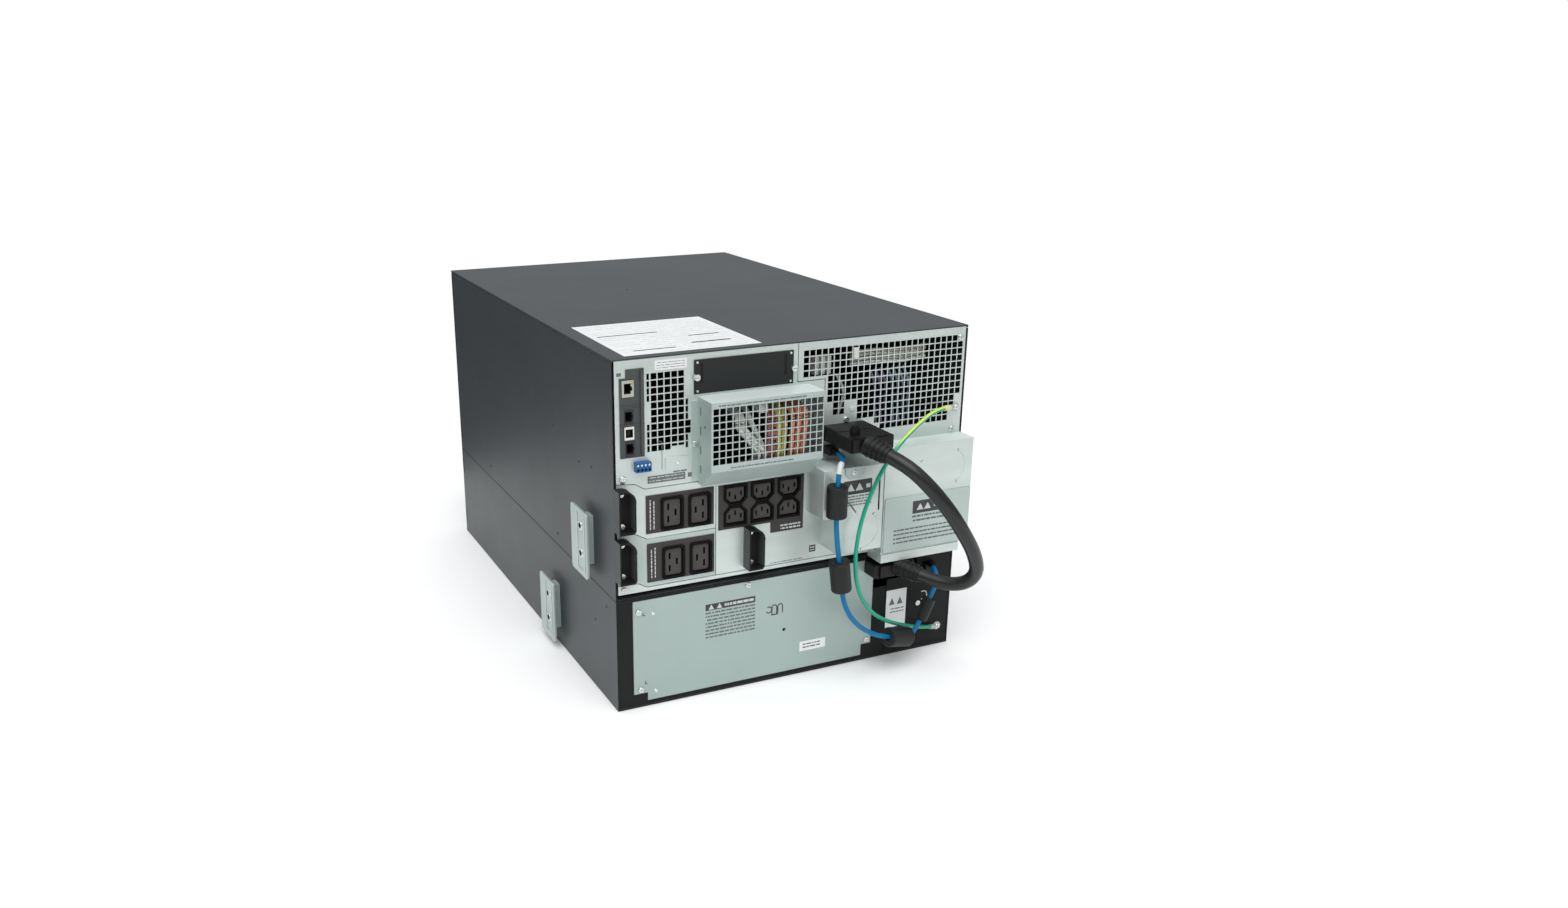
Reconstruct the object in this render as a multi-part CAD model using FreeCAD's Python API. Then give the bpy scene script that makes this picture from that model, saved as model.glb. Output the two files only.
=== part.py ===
"""Rack UPS: a 6U power unit standing on a 3U battery pack, seen mainly from its wired rear.

Millimetres, +Z up. The origin is the centre of the base, the front faces -Y and the rear
panel faces +Y. "Rise" is a distance outwards from the rear panel plane, along +Y.
"""
import FreeCAD, Part
import math
import os

Vec = FreeCAD.Vector

# ---- driving dimensions ---------------------------------------------------------------
WIDTH = 432.0            # across the steel shells, for a 19-inch rack
DEPTH = 630.0            # front edge to rear panel
REAR = DEPTH / 2         # the rear panel plane
FRONT = -DEPTH / 2
SIDE = WIDTH / 2
PACK_TOP = 130.0         # 3U battery pack
TOP = 393.0              # 3U pack and 6U power unit together
SHEET = 1.5              # steel sheet of the shells
SEAM = 0.8               # visible gap between two rear panels
PANEL = 1.2              # zinc plated rear panel sheet
INSET = 3.0              # rear panel edge in from the shell's outer side
LEFT_EDGE = SIDE - INSET
PANEL_FACE = REAR - PANEL
UPPER_SEAM = [(LEFT_EDGE, 261.7), (192.2, 259.7), (181.6, 253.2)]    # x, z along each seam
MIDDLE_SEAM = [(LEFT_EDGE, 206.8), (193.0, 204.7), (179.3, 197.0)]
LOWER_SEAM = [(LEFT_EDGE, 148.5), (190.0, 147.8), (180.0, 142.3)]
BAY_X = 98.5             # seam between the two outlet bays
VENT_EDGE = [(2.0, 391.2), (2.0, 349.5), (-32.0, 349.5), (-32.0, 253.0)]

VENT_PITCH = 7.65        # square vent perforation
VENT_HOLE = 6.4
LEFT_VENT = (170.0, 372.2)    # x, z of its first hole
RIGHT_VENT = (-7.6, 379.2)

CAGE_RISE = 33.5         # perforated cover over the output wiring
CAGE_X = (-12.0, 120.5)
CAGE_Z = (251.0, 345.8)
CAGE_BEND_Z = 271.5      # where the front face turns back to the panel
CAGE_SHEET = 1.2
OUTPUT_WIRE_RISE = 23.0  # output wires pass close behind the mesh
TERMINAL_WAYS = [11.0 + 12.2 * way for way in range(8)]    # x of each screw terminal

SMALL_BOX = dict(x=(-88.5, -12.4), low_x=-31.0, step_z=201.0, z=(157.5, 257.0), rise=38.0)
LARGE_BOX = dict(x=(-215.0, -97.5), z=(143.0, 268.0), rise=26.0)
LARGE_LIP = dict(x=(-202.0, -96.0), z=(133.0, 142.8), rise=28.0)
COVER_SPLIT_Z = 209.5    # top of the lower cover plate on the large box
KNOCKOUTS = [(-61.0, 183.0, 21.5, SMALL_BOX["rise"]),
             (-185.0, 237.0, 19.5, LARGE_BOX["rise"]),
             (-127.5, 237.0, 19.5, LARGE_BOX["rise"])]

C19_SIZE = (26.5, 37.0)
C19_PLACES = {"upper": [(150.8, 222.5, 1), (118.7, 221.7, -1)],
              "lower": [(149.5, 166.5, 1), (117.2, 166.5, -1)]}
C13_SIZE = (28.0, 23.0)
C13_PLACES = {"upper": [(76.0, 232.0, 1), (43.2, 232.0, 1), (10.5, 232.0, 1)],
              "lower": [(76.0, 208.5, -1), (43.2, 208.5, -1), (10.5, 208.5, -1)]}
SOCKET_DEPTH = 22.0
SOCKET_RISE = 2.6
SOCKET_WALL = 3.0
PLATE_RISE = 1.0         # outlet cover plates stand this proud of the panels

CORD_BRACKETS = [(216.0, 210.0), (216.0, 154.0), (65.0, 145.7)]     # outer x, low z
BRACKET_SIZE = (19.0, 47.5)
BRACKET_RISE = 15.0

RAIL_STAND = 12.0        # rail bracket face off the shell's side
RAIL_SIZE = (51.0, 77.0)
RAIL_PLACES = [(REAR - 78.5, 175.5), (REAR - 203.5, 47.0)]          # centre y, z
RAIL_HOLE_R = 3.5
RAIL_HOLES_DZ = (20.0, -12.0)
RAIL_HOLE_DY = 6.0

PLUG_WIDTH = 54.0        # battery plug bodies
PLUG_HEIGHT = 16.0
UPS_PLUG = dict(x=-56.5, z=288.5, rise=(30.0, 60.0), socket_x=(-81.5, -31.5), socket_rise=0.0)
PACK_PLUG = dict(x=-119.0, z=120.0, rise=(1.0, 22.0), socket_x=(-144.0, -107.5), socket_rise=-29.0)
SLEEVE_TOP = 132.6       # the lower sleeve passes under the large box's lip
GROUND_STUDS = [(-204.8, 299.0), (-199.0, 25.2)]
BATTERY_CABLE_D = 16.0
GROUND_WIRE_D = 4.6
SIGNAL_CABLE_D = 5.6

SCREW_R = 3.4            # cross-head screws of the rear
SCREW_HEIGHT = 2.2

FERRITE_R = 11.5
FERRITE_BORE_R = 4.2
FERRITE_LENGTH = 36.0

BEZEL_DEPTH = 20.0
BEZEL_HALF = 208.0
POD_SIZE = (111.0, 12.0, 63.0)
POD_TOP = 365.0
POD_GAP = 1.5
KEYS = {"power_button": (-40.0, 333.0, 6.0),      # x, z, radius
        "key_up": (41.0, 345.0, 4.5),
        "key_down": (41.0, 322.0, 4.5)}
KEY_CLEARANCE = 0.3
KEY_TRAVEL = 1.2
KEY_SINK = 5.0

FAN_X = (-75.0, 75.0)
FAN_Y = 20.0
FAN_Z = 335.0
FAN_SIZE = 92.0
FAN_DEPTH = 25.0
FAN_BORE_R = 43.0
FAN_PIN_R = 1.5
FAN_CLEARANCE = 0.05
FAN_BLADES = 7

# Cord routes: x, rise from the rear panel plane, z. scene.py repeats these points.
BATTERY_ROUTE = [(-62.6, 83.8, 281), (-72.5, 102.5, 275), (-90, 118, 256), (-112, 127, 228),
                 (-136, 125, 196), (-158, 117, 166), (-174, 104, 137), (-172, 86, 117),
                 (-155, 66, 112), (-139, 44, 118)]
GROUND_ROUTE = [(-193, 6, 300.5), (-176, 14, 303), (-153, 25, 301.5), (-128, 37, 294),
                (-104, 46, 282), (-83, 51, 263), (-68, 53, 241), (-57, 53.5, 217),
                (-49.5, 54, 193), (-46, 54, 169), (-46.5, 53, 145), (-52, 50.5, 120),
                (-64.5, 46, 96.5), (-85, 39, 75), (-113, 29, 57), (-144, 18.5, 42.5),
                (-170, 10, 32), (-186, 5, 27.5)]
SIGNAL_ROUTE = [(-37, 24, 270), (-37, 38, 270), (-24, 50, 266), (-19.5, 54, 247),
                (-20.0, 53, 207), (-21.0, 53.8, 184), (-25.0, 53.2, 161), (-31.5, 51.5, 117),
                (-39, 50, 95), (-53, 48, 75), (-74, 45, 58), (-99, 41, 46),
                (-141, 30, 34), (-158, 23, 47), (-170, 25, 79), (-174.5, 28.5, 96),
                (-178, 22, 106.5), (-180, 13, 109)]
FERRITE_RUNS = [(3, FERRITE_LENGTH), (6, FERRITE_LENGTH), (11, FERRITE_LENGTH)]
CLIP_RUN = 13            # run that carries the small black clip-on core
CLIP_LENGTH = 28.0
CLIP_R = 7.5


# ---- small geometry tools --------------------------------------------------------------
def block(x, y, z):
    """A box from its three (low, high) ranges, given in either order."""
    low = [min(pair) for pair in (x, y, z)]
    size = [abs(pair[1] - pair[0]) for pair in (x, y, z)]
    return Part.makeBox(size[0], size[1], size[2], Vec(*low))


def rod(start, end, radius):
    """A cylinder between two points."""
    axis = Vec(*end) - Vec(*start)
    return Part.makeCylinder(radius, axis.Length, Vec(*start), axis)


def fuse(shapes):
    """Join overlapping or touching shapes into one clean solid."""
    joined = shapes[0].multiFuse(shapes[1:]) if len(shapes) > 1 else shapes[0]
    return joined.removeSplitter()


def group(shapes):
    """Keep separate solids together in one node."""
    return Part.makeCompound(shapes)


def outline(points, y):
    """A closed wire through (x, z) points in the plane at y."""
    corners = [Vec(x, y, z) for x, z in points]
    return Part.makePolygon(corners + corners[:1])


def rectangle(x, z, y):
    """A rectangular wire from its (low, high) ranges."""
    return outline([(x[0], z[0]), (x[1], z[0]), (x[1], z[1]), (x[0], z[1])], y)


def rounded(centre, size, radius, y):
    """A rectangular wire with round corners about an (x, z) centre."""
    half_x = size[0] / 2 - radius
    half_z = size[1] / 2 - radius
    edges = []
    for turn, (sign_x, sign_z) in enumerate([(1, 1), (-1, 1), (-1, -1), (1, -1)]):
        hub = Vec(centre[0] + sign_x * half_x, y, centre[1] + sign_z * half_z)
        angles = [math.radians(90 * turn + part * 45) for part in range(3)]
        spots = [hub + Vec(radius * math.cos(a), 0, radius * math.sin(a)) for a in angles]
        if edges:
            edges.append(Part.makeLine(edges[-1].lastVertex().Point, spots[0]))
        edges.append(Part.Arc(spots[0], spots[1], spots[2]).toShape())
    edges.append(Part.makeLine(edges[-1].lastVertex().Point, edges[0].firstVertex().Point))
    return Part.Wire(edges)


def circle(centre, radius, y):
    """A round wire about an (x, z) centre."""
    edge = Part.makeCircle(radius, Vec(centre[0], y, centre[1]), Vec(0, 1, 0))
    return Part.Wire([edge])


def plate(outer, thickness, holes=()):
    """A flat sheet in the XZ plane, grown along +Y from its outer wire."""
    face = Part.makeFace([outer] + list(holes), "Part::FaceMakerBullseye")
    return face.extrude(Vec(0, thickness, 0))


def square_hole(x, z, y, width=VENT_HOLE, height=VENT_HOLE):
    """One vent perforation about its centre."""
    return rectangle((x - width / 2, x + width / 2), (z - height / 2, z + height / 2), y)


def mirrored(shape):
    """The same shape on the other side of the X = 0 plane."""
    return shape.mirror(Vec(0, 0, 0), Vec(1, 0, 0))


def route_points(route):
    """Route points as vectors in the part's frame."""
    return [Vec(x, REAR + rise, z) for x, rise, z in route]


def cord_tube(name, route, diameter):
    """A tube along straight runs joined by tangent arcs. Prints its radii and length."""
    points = route_points(route)
    edges = []
    radii = []
    here = points[0]
    for before, corner, after in zip(points, points[1:], points[2:]):
        run_in = corner - before
        run_out = after - corner
        turn = run_in.getAngle(run_out)
        shorter = min(run_in.Length, run_out.Length)
        reach = 0.45 * shorter
        radii.append(reach / math.tan(turn / 2))
        start = corner - run_in.normalize() * reach
        end = corner + run_out.normalize() * reach
        inward = (start + end) * 0.5 - corner
        sagitta = radii[-1] * (1 / math.cos(turn / 2) - 1)
        middle = corner + inward.normalize() * sagitta
        edges.append(Part.LineSegment(here, start).toShape())
        edges.append(Part.Arc(start, middle, end).toShape())
        here = end
    edges.append(Part.LineSegment(here, points[-1]).toShape())
    path = Part.Wire(edges)
    first_run = points[1] - points[0]
    section = Part.Wire([Part.makeCircle(diameter / 2, points[0], first_run)])
    tube = path.makePipeShell([section], True, False)
    area = math.pi * diameter ** 2 / 4
    print(name, "length %.0f mm" % path.Length,
          "volume ratio %.4f" % (tube.Volume / (area * path.Length)),
          "radii", " ".join("%.0f" % r for r in radii))
    return tube


# ---- shells ----------------------------------------------------------------------------
def shell_slots(places):
    """Thin vertical slots through both sides near the front edge."""
    cuts = []
    for low, high in places:
        for side in (-SIDE, SIDE):
            cuts.append(block((side - 4, side + 4), (FRONT + 3.5, FRONT + 6.0), (low, high)))
    return group(cuts)


def ups_chassis():
    low = PACK_TOP + 0.4
    high = TOP - 3.6
    sides = [block((s * (SIDE - SHEET), s * SIDE), (FRONT, REAR), (low, high)) for s in (-1, 1)]
    floor = block((-SIDE, SIDE), (FRONT, REAR), (low, low + SHEET))
    front = plate(rectangle((-SIDE, SIDE), (low, high), FRONT), SHEET,
                  [rectangle((-190, 190), (146, 290), FRONT), rectangle((-150, 150), (302, 380), FRONT)])
    body = fuse(sides + [floor, front])
    return body.cut(shell_slots([(358, 386), (290, 297), (231, 238), (147, 170)]))


def ups_top_cover():
    low = TOP - 3.2
    top = block((-SIDE, SIDE), (FRONT, REAR), (TOP - SHEET, TOP))
    lips = [block((s * (SIDE - SHEET), s * SIDE), (FRONT, REAR), (low, TOP)) for s in (-1, 1)]
    front_lip = block((-SIDE, SIDE), (FRONT, FRONT + SHEET), (low, TOP))
    body = fuse([top, front_lip] + lips)
    finger_hole = rod((48, REAR - 377, TOP - 5), (48, REAR - 377, TOP + 5), 2.0)
    return body.cut(finger_hole)


def pack_chassis():
    high = PACK_TOP
    sides = [block((s * (SIDE - SHEET), s * SIDE), (FRONT, REAR), (0, high)) for s in (-1, 1)]
    floor = block((-SIDE, SIDE), (FRONT, REAR), (0, SHEET))
    lid = block((-SIDE, SIDE), (FRONT, REAR), (high - SHEET, high))
    front = plate(rectangle((-SIDE, SIDE), (0, high), FRONT), SHEET,
                  [rectangle((-190, 190), (16, 112), FRONT)])
    rear = plate(outline([(-SIDE, 0), (SIDE, 0), (SIDE, high), (-105, high), (-105, 90),
                          (-SIDE, 90)], REAR - 2.4), SHEET,
                 [rectangle((-95, 185), (20, 115), REAR - 2.4)])
    recess = block((-SIDE, -104), (REAR - 42, REAR - 40), (2, high))
    wall = block((-105.5, -104), (REAR - 42, REAR - 0.9), (90, high))
    rim = block((-SIDE, -SIDE + 10), (REAR - 2.4, REAR - 0.9), (0, high))
    body = fuse(sides + [floor, lid, front, rear, recess, wall, rim])
    return body.cut(shell_slots([(94, 115), (16, 35)]))


def rail_brackets():
    """Standing plates that hook onto the rack rails, two on each side."""
    solids = []
    for y, z in RAIL_PLACES:
        half_y, half_z = RAIL_SIZE[0] / 2, RAIL_SIZE[1] / 2
        face = block((SIDE + RAIL_STAND - 2.2, SIDE + RAIL_STAND), (y - half_y, y + half_y),
                     (z - half_z, z + half_z))
        upright = [edge for edge in face.Edges
                   if abs(edge.tangentAt(edge.FirstParameter).x) > 0.99]
        face = face.makeFillet(5.0, upright)
        pad = block((SIDE, SIDE + RAIL_STAND), (y + RAIL_HOLE_DY - 8, y + RAIL_HOLE_DY + 8),
                    (z - 24, z + 32))
        bracket = fuse([face, pad])
        for lift in RAIL_HOLES_DZ:
            centre_y = y + RAIL_HOLE_DY
            bracket = bracket.cut(rod((SIDE - 1, centre_y, z + lift),
                                      (SIDE + RAIL_STAND + 1, centre_y, z + lift), RAIL_HOLE_R))
        solids += [bracket, mirrored(bracket)]
    return group(solids)


# ---- rear panels -----------------------------------------------------------------------
def shifted(points, drop):
    """Points moved down, for the far side of a seam."""
    return [(x, z - drop) for x, z in points]


def left_vent_holes(y):
    holes = []
    for row in range(11):
        z = LEFT_VENT[1] - row * VENT_PITCH
        for column in range(5):
            short = row == 10 and column >= 3
            holes.append(square_hole(LEFT_VENT[0] - column * VENT_PITCH, z + (1.4 if short else 0),
                                     y, VENT_HOLE, 2.8 if short else VENT_HOLE))
        if row < 4 or row > 6:
            holes.append(square_hole(LEFT_VENT[0] + VENT_PITCH - 1.2, z, y, 2.8))
        if row in (4, 5, 6, 9, 10):
            holes.append(square_hole(LEFT_VENT[0] - 5 * VENT_PITCH + 1.2, z, y, 2.8))
        if row in (7, 8):
            holes.append(square_hole(LEFT_VENT[0] - 5 * VENT_PITCH, z, y))
    return holes


def right_vent_open(column, row):
    """Whether the right grille has a hole at this place of its grid."""
    first = {0: 0, 1: 0, 2: 0, 3: 0, 8: 5, 9: 5, 10: 9, 11: 12, 12: 13}.get(row, 4)
    last = {0: 25, 9: 25, 10: 25, 11: 24, 12: 24}.get(row, 26)
    blocked = row in (8, 9) and column in (7, 8)
    return first <= column <= last and not blocked


def right_vent_holes(y):
    return [square_hole(RIGHT_VENT[0] - column * VENT_PITCH, RIGHT_VENT[1] - row * VENT_PITCH, y)
            for row in range(13) for column in range(27) if right_vent_open(column, row)]


def rear_panel():
    """Upper left panel with the left vent, the comms opening and the slot opening."""
    y = PANEL_FACE
    edge = [(2.0 + SEAM, 391.2), (LEFT_EDGE, 391.2)] + UPPER_SEAM
    edge += [(-32.0 + SEAM, 253.2), (-32.0 + SEAM, 348.7), (2.0 + SEAM, 348.7)]
    openings = [rectangle((184, 206), (290, 371.3), y), rectangle((20, 114), (353, 381), y),
                rectangle((176.5, 192.5), (274, 283.4), y), rectangle((0, 108), (256, 340), y)]
    return plate(outline(edge, y), PANEL, openings + left_vent_holes(y))


def rear_vent_panel():
    """Upper right panel, nearly all perforated."""
    y = PANEL_FACE
    edge = VENT_EDGE + [(-LEFT_EDGE, 253.2), (-LEFT_EDGE, 391.2)]
    openings = [rectangle((-80, -46), (281, 296), y), rectangle((-41.5, -33), (266, 274), y)]
    return plate(outline(edge, y), PANEL, openings + right_vent_holes(y))


def folded(panel, x, z):
    """Add a rearward-turned flange along the top of a bay panel."""
    flange = block(x, (REAR - 12, REAR), (z - SHEET, z))
    return fuse([panel, flange])


def outlet_panel_upper():
    y = PANEL_FACE
    edge = shifted(UPPER_SEAM, SEAM) + [(BAY_X + SEAM, 252.4), (BAY_X + SEAM, 197.4)]
    edge += MIDDLE_SEAM[::-1]
    openings = [rectangle((104.5, 165), (203.5, 241.5), y)]
    return folded(plate(outline(edge, y), PANEL, openings), (BAY_X + SEAM, 181), 252.4)


def outlet_panel_lower():
    y = PANEL_FACE
    edge = shifted(MIDDLE_SEAM, SEAM) + [(BAY_X + SEAM, 196.6), (BAY_X + SEAM, 142.3)]
    edge += LOWER_SEAM[::-1]
    openings = [rectangle((103.5, 163.5), (147.8, 185.2), y)]
    return folded(plate(outline(edge, y), PANEL, openings), (BAY_X + SEAM, 179), 196.6)


def outlet_panel_right():
    """Right bay: the six smaller outlets, and the wall the conduit boxes stand on."""
    y = PANEL_FACE
    low, high = 142.3, 252.4
    openings = [rectangle((-4, 90.5), (196.5, 244), y), rectangle((-80, -40), (165, 245), y),
                rectangle((-205, -105), (152, 246), y)]
    face = plate(rectangle((-LEFT_EDGE, BAY_X), (low, high), y), PANEL, openings)
    sill_edge = [(-LEFT_EDGE, 137.6), (LEFT_EDGE, 137.6)] + shifted(LOWER_SEAM, SEAM)
    sill_edge.append((-LEFT_EDGE, 142.3 - SEAM))
    sill = fuse([plate(outline(sill_edge, y), PANEL),
                 block((-LEFT_EDGE, LEFT_EDGE), (REAR - 14, REAR), (137.6, 139.1))])
    return group([folded(face, (-LEFT_EDGE, BAY_X), high), sill])


def comms_faceplate():
    y = REAR
    edge = [(208, 289), (208, 373), (201, 373), (201, 382), (181, 382), (181, 289)]
    openings = [rectangle((192.2, 205.7), (353.4, 371.2), y), rectangle((192.8, 203.2), (325.2, 340.2), y),
                rectangle((192.5, 203.6), (308.2, 322.6), y), rectangle((191.8, 202.6), (290.2, 307.2), y)]
    ribs = [block((181, 208), (REAR + 0.9, REAR + 1.9), (z - 0.7, z + 0.7)) for z in (343.7, 324.0)]
    ribs.append(block((182, 185.5), (REAR + 0.9, REAR + 3.4), (291, 380)))
    return fuse([plate(outline(edge, y), 1.0, openings)] + ribs)


def modular_jack(x, z, keyed=1.6, rise=1.6):
    """A modular jack on its side: a box with a keyed mouth."""
    body = block(x, (REAR - 13.5, REAR + rise), z)
    mid_x, mid_z = (x[0] + x[1]) / 2, (z[0] + z[1]) / 2
    mouth = block((mid_x - 3.2, mid_x + 4.2), (REAR - 12, REAR + rise + 1), (mid_z - 5.4, mid_z + 5.4))
    key = block((mid_x - 3.2 - keyed, mid_x), (REAR - 10, REAR + rise + 1), (mid_z - 2.2, mid_z + 2.2))
    return body.cut(mouth).cut(key)


def network_jack():
    return modular_jack((192.4, 205.5), (353.6, 371.0))


def io_jacks():
    return group([modular_jack((193.0, 203.0), (325.4, 340.0), 1.0, 1.2),
                  modular_jack((192.0, 202.4), (290.4, 307.0), 1.0, 1.2)])


def usb_port():
    x, z = (192.7, 203.4), (308.4, 322.4)
    body = block(x, (REAR - 13.5, REAR + 1.6), z)
    mouth = block((x[0] + 1.4, x[1] - 1.4), (REAR - 11, REAR + 3), (z[0] + 2.6, z[1] - 2.6))
    mid_x, mid_z = sum(x) / 2, sum(z) / 2
    tongue = block((mid_x - 1.6, mid_x + 1.6), (REAR - 12, REAR), (mid_z - 2.8, mid_z + 2.8))
    return fuse([body.cut(mouth), tongue])


def terminal_block():
    """Four-way plug-in screw terminal."""
    x, z = (176.0, 193.0), (273.6, 283.8)
    body = block(x, (REAR + 0.1, REAR + 7.0), z)
    neck = block((177.5, 191.5), (REAR - 8, REAR + 1), (275, 282.4))
    body = fuse([body, neck])
    pitch = (x[1] - x[0]) / 4
    for way in range(4):
        centre = x[0] + (way + 0.5) * pitch
        body = body.cut(block((centre - 1.4, centre + 1.4), (REAR + 3, REAR + 8), (274.8, 277.6)))
        body = body.cut(rod((centre, REAR + 5, 281), (centre, REAR + 8, 281), 1.3))
    return body


def slot_cover():
    y = REAR
    slots = [rectangle((115.2, 117.8), (360, 381), y), rectangle((17.2, 19.8), (359, 381), y)]
    return plate(rectangle((8.5, 125), (348.5, 384.8), y), 1.2, slots)


def thumbscrews():
    solids = []
    for x, z in [(123.4, 367.0), (9.4, 366.0)]:
        head = rod((x, REAR + 1.2, z), (x, REAR + 6.2, z), 3.4)
        slot = block((x - 4, x + 4), (REAR + 5.2, REAR + 7), (z - 0.5, z + 0.5))
        solids.append(head.cut(slot))
    return group(solids)


# ---- output wiring cage ----------------------------------------------------------------
def wiring_cover():
    low_x, high_x = CAGE_X
    low_z, high_z = CAGE_Z
    front = REAR + CAGE_RISE
    toe = REAR + 13.0
    holes = [square_hole(high_x - 5.4 - column * VENT_PITCH, 336.2 - row * VENT_PITCH,
                         front - CAGE_SHEET)
             for column in range(17) for row in range(8)]
    face = plate(rectangle(CAGE_X, (CAGE_BEND_Z, high_z), front - CAGE_SHEET), CAGE_SHEET, holes)
    top = block(CAGE_X, (REAR, front), (high_z - CAGE_SHEET, high_z))
    slope_run = (front - toe, CAGE_BEND_Z - low_z)
    normal = Vec(0, slope_run[1], -slope_run[0]).normalize() * CAGE_SHEET
    corners = [Vec(low_x, front, CAGE_BEND_Z), Vec(high_x, front, CAGE_BEND_Z),
               Vec(high_x, toe, low_z), Vec(low_x, toe, low_z)]
    slope = Part.Face(Part.makePolygon(corners + corners[:1])).extrude(normal * -1)
    floor = block(CAGE_X, (REAR, toe + 0.6), (low_z, low_z + CAGE_SHEET))
    profile = [(REAR, high_z), (front, high_z), (front, CAGE_BEND_Z), (toe, low_z), (REAR, low_z)]
    cheeks = []
    for x in (low_x, high_x - CAGE_SHEET):
        corners = [Vec(x, y, z) for y, z in profile]
        face_x = Part.Face(Part.makePolygon(corners + corners[:1]))
        cheeks.append(face_x.extrude(Vec(CAGE_SHEET, 0, 0)))
    flanges = [block((high_x - 1, high_x + 7), (REAR, REAR + CAGE_SHEET), (254, 342)),
               block((low_x - 7, low_x + 1), (REAR, REAR + CAGE_SHEET), (258, 342))]
    return fuse([face, top, slope, floor] + cheeks + flanges)


def output_terminals():
    """Screw terminal strip behind the cage, where the output wires end."""
    strip = block((4, 104), (REAR - 30, REAR - 8), (326, 342))
    for centre in TERMINAL_WAYS:
        strip = strip.cut(block((centre - 4, centre + 4), (REAR - 14, REAR - 7), (329, 343)))
    return strip


def output_wire(way, x_low, diameter=7.5):
    """One wire from its screw terminal down behind the cage's mesh and back in."""
    rise = OUTPUT_WIRE_RISE
    x_top = TERMINAL_WAYS[way]
    route = [(x_top, -11, 334), (x_top, rise - 7, 330), (x_top, rise, 322),
             (x_low, rise + 1, 284), (x_low, rise - 9, 268), (x_low, -12, 263)]
    return cord_tube("output wire", route, diameter)


def output_wires_white():
    return group([output_wire(6, 64.5, 6.0), output_wire(5, 53.0, 6.0)])


# ---- outlets ---------------------------------------------------------------------------
def c19_plates():
    plates = []
    for x, z, key in [((101.7, 180.5), (202.5, 245.0), "upper"), ((101.0, 179.7), (147.0, 191.0), "lower")]:
        holes = [rounded((cx, cz), (C19_SIZE[0] - 1.5, C19_SIZE[1] - 1.5), 3.2, REAR)
                 for cx, cz, _ in C19_PLACES[key]]
        plates.append(plate(rectangle(x, z, REAR), PLATE_RISE, holes))
    return group(plates)


def c19_socket(x, z, sign):
    """High current outlet: a rim, a keyed core and three upright slots."""
    width, height = C19_SIZE
    back = REAR - SOCKET_DEPTH
    deep = SOCKET_DEPTH + SOCKET_RISE
    shell = plate(rounded((x, z), (width - 1.7, height - 1.7), 3.0, back), deep)
    rim = plate(rounded((x, z), C19_SIZE, 3.5, REAR + PLATE_RISE), SOCKET_RISE - PLATE_RISE)
    well = plate(rounded((x, z), (width - 2 * SOCKET_WALL, height - 2 * SOCKET_WALL), 3.0, REAR - 14), 30)
    core_size = (width - 2 * SOCKET_WALL - 1.6, height - 2 * SOCKET_WALL - 1.6)
    core = plate(rounded((x, z), core_size, 2.4, REAR - 15), 15.4)
    for slot_x, slot_z in [(4.2, 7.0), (4.2, -7.0), (-4.2, 0.0)]:
        centre = x + sign * slot_x
        core = core.cut(block((centre - 1.1, centre + 1.1), (REAR - 13, REAR + 4),
                              (z + slot_z - 3.6, z + slot_z + 3.6)))
    return fuse([shell.fuse(rim).cut(well), core])


def c19_sockets(row):
    return group([c19_socket(*place) for place in C19_PLACES[row]])


def keyed_outline(x, z, sign, size, cut, y):
    """Outlet outline with two corners cut off; sign 1 cuts the lower two."""
    half_x, half_z = size[0] / 2, size[1] / 2
    points = [(-half_x, half_z), (half_x, half_z), (half_x, -half_z + cut),
              (half_x - cut, -half_z), (-half_x + cut, -half_z), (-half_x, -half_z + cut)]
    return outline([(x + px, z + sign * pz) for px, pz in points], y)


def c13_socket(x, z, sign):
    """Standard outlet: keyed rim, core and three upright slots."""
    width, height = C13_SIZE
    rim = plate(keyed_outline(x, z, sign, C13_SIZE, 7.0, REAR + PLATE_RISE), SOCKET_RISE - PLATE_RISE)
    shell = plate(keyed_outline(x, z, sign, (width - 1.5, height - 1.5), 6.6, REAR - SOCKET_DEPTH),
                  SOCKET_DEPTH + PLATE_RISE)
    well = plate(keyed_outline(x, z, sign, (width - 5.2, height - 5.2), 5.4, REAR - 14), 30)
    core = plate(keyed_outline(x, z, sign, (width - 7.2, height - 7.2), 4.8, REAR - 15), 15.4)
    for slot_x, slot_z in [(7.0, 1.2), (-7.0, 1.2), (0.0, -2.6)]:
        centre_z = z + sign * slot_z
        core = core.cut(block((x + slot_x - 0.95, x + slot_x + 0.95), (REAR - 13, REAR + 4),
                              (centre_z - 2.6, centre_z + 2.6)))
    return fuse([shell.fuse(rim).cut(well), core])


def c13_sockets(row):
    return group([c13_socket(*place) for place in C13_PLACES[row]])


def c13_plate():
    edge = [(96, 193.5), (96, 244.6), (-8.5, 244.6), (-8.5, 181), (32, 181), (32, 193.5)]
    holes = [keyed_outline(x, z, sign, (C13_SIZE[0] - 1.2, C13_SIZE[1] - 1.2), 6.6, REAR)
             for row in C13_PLACES.values() for x, z, sign in row]
    return plate(outline(edge, REAR), PLATE_RISE, holes)


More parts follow.
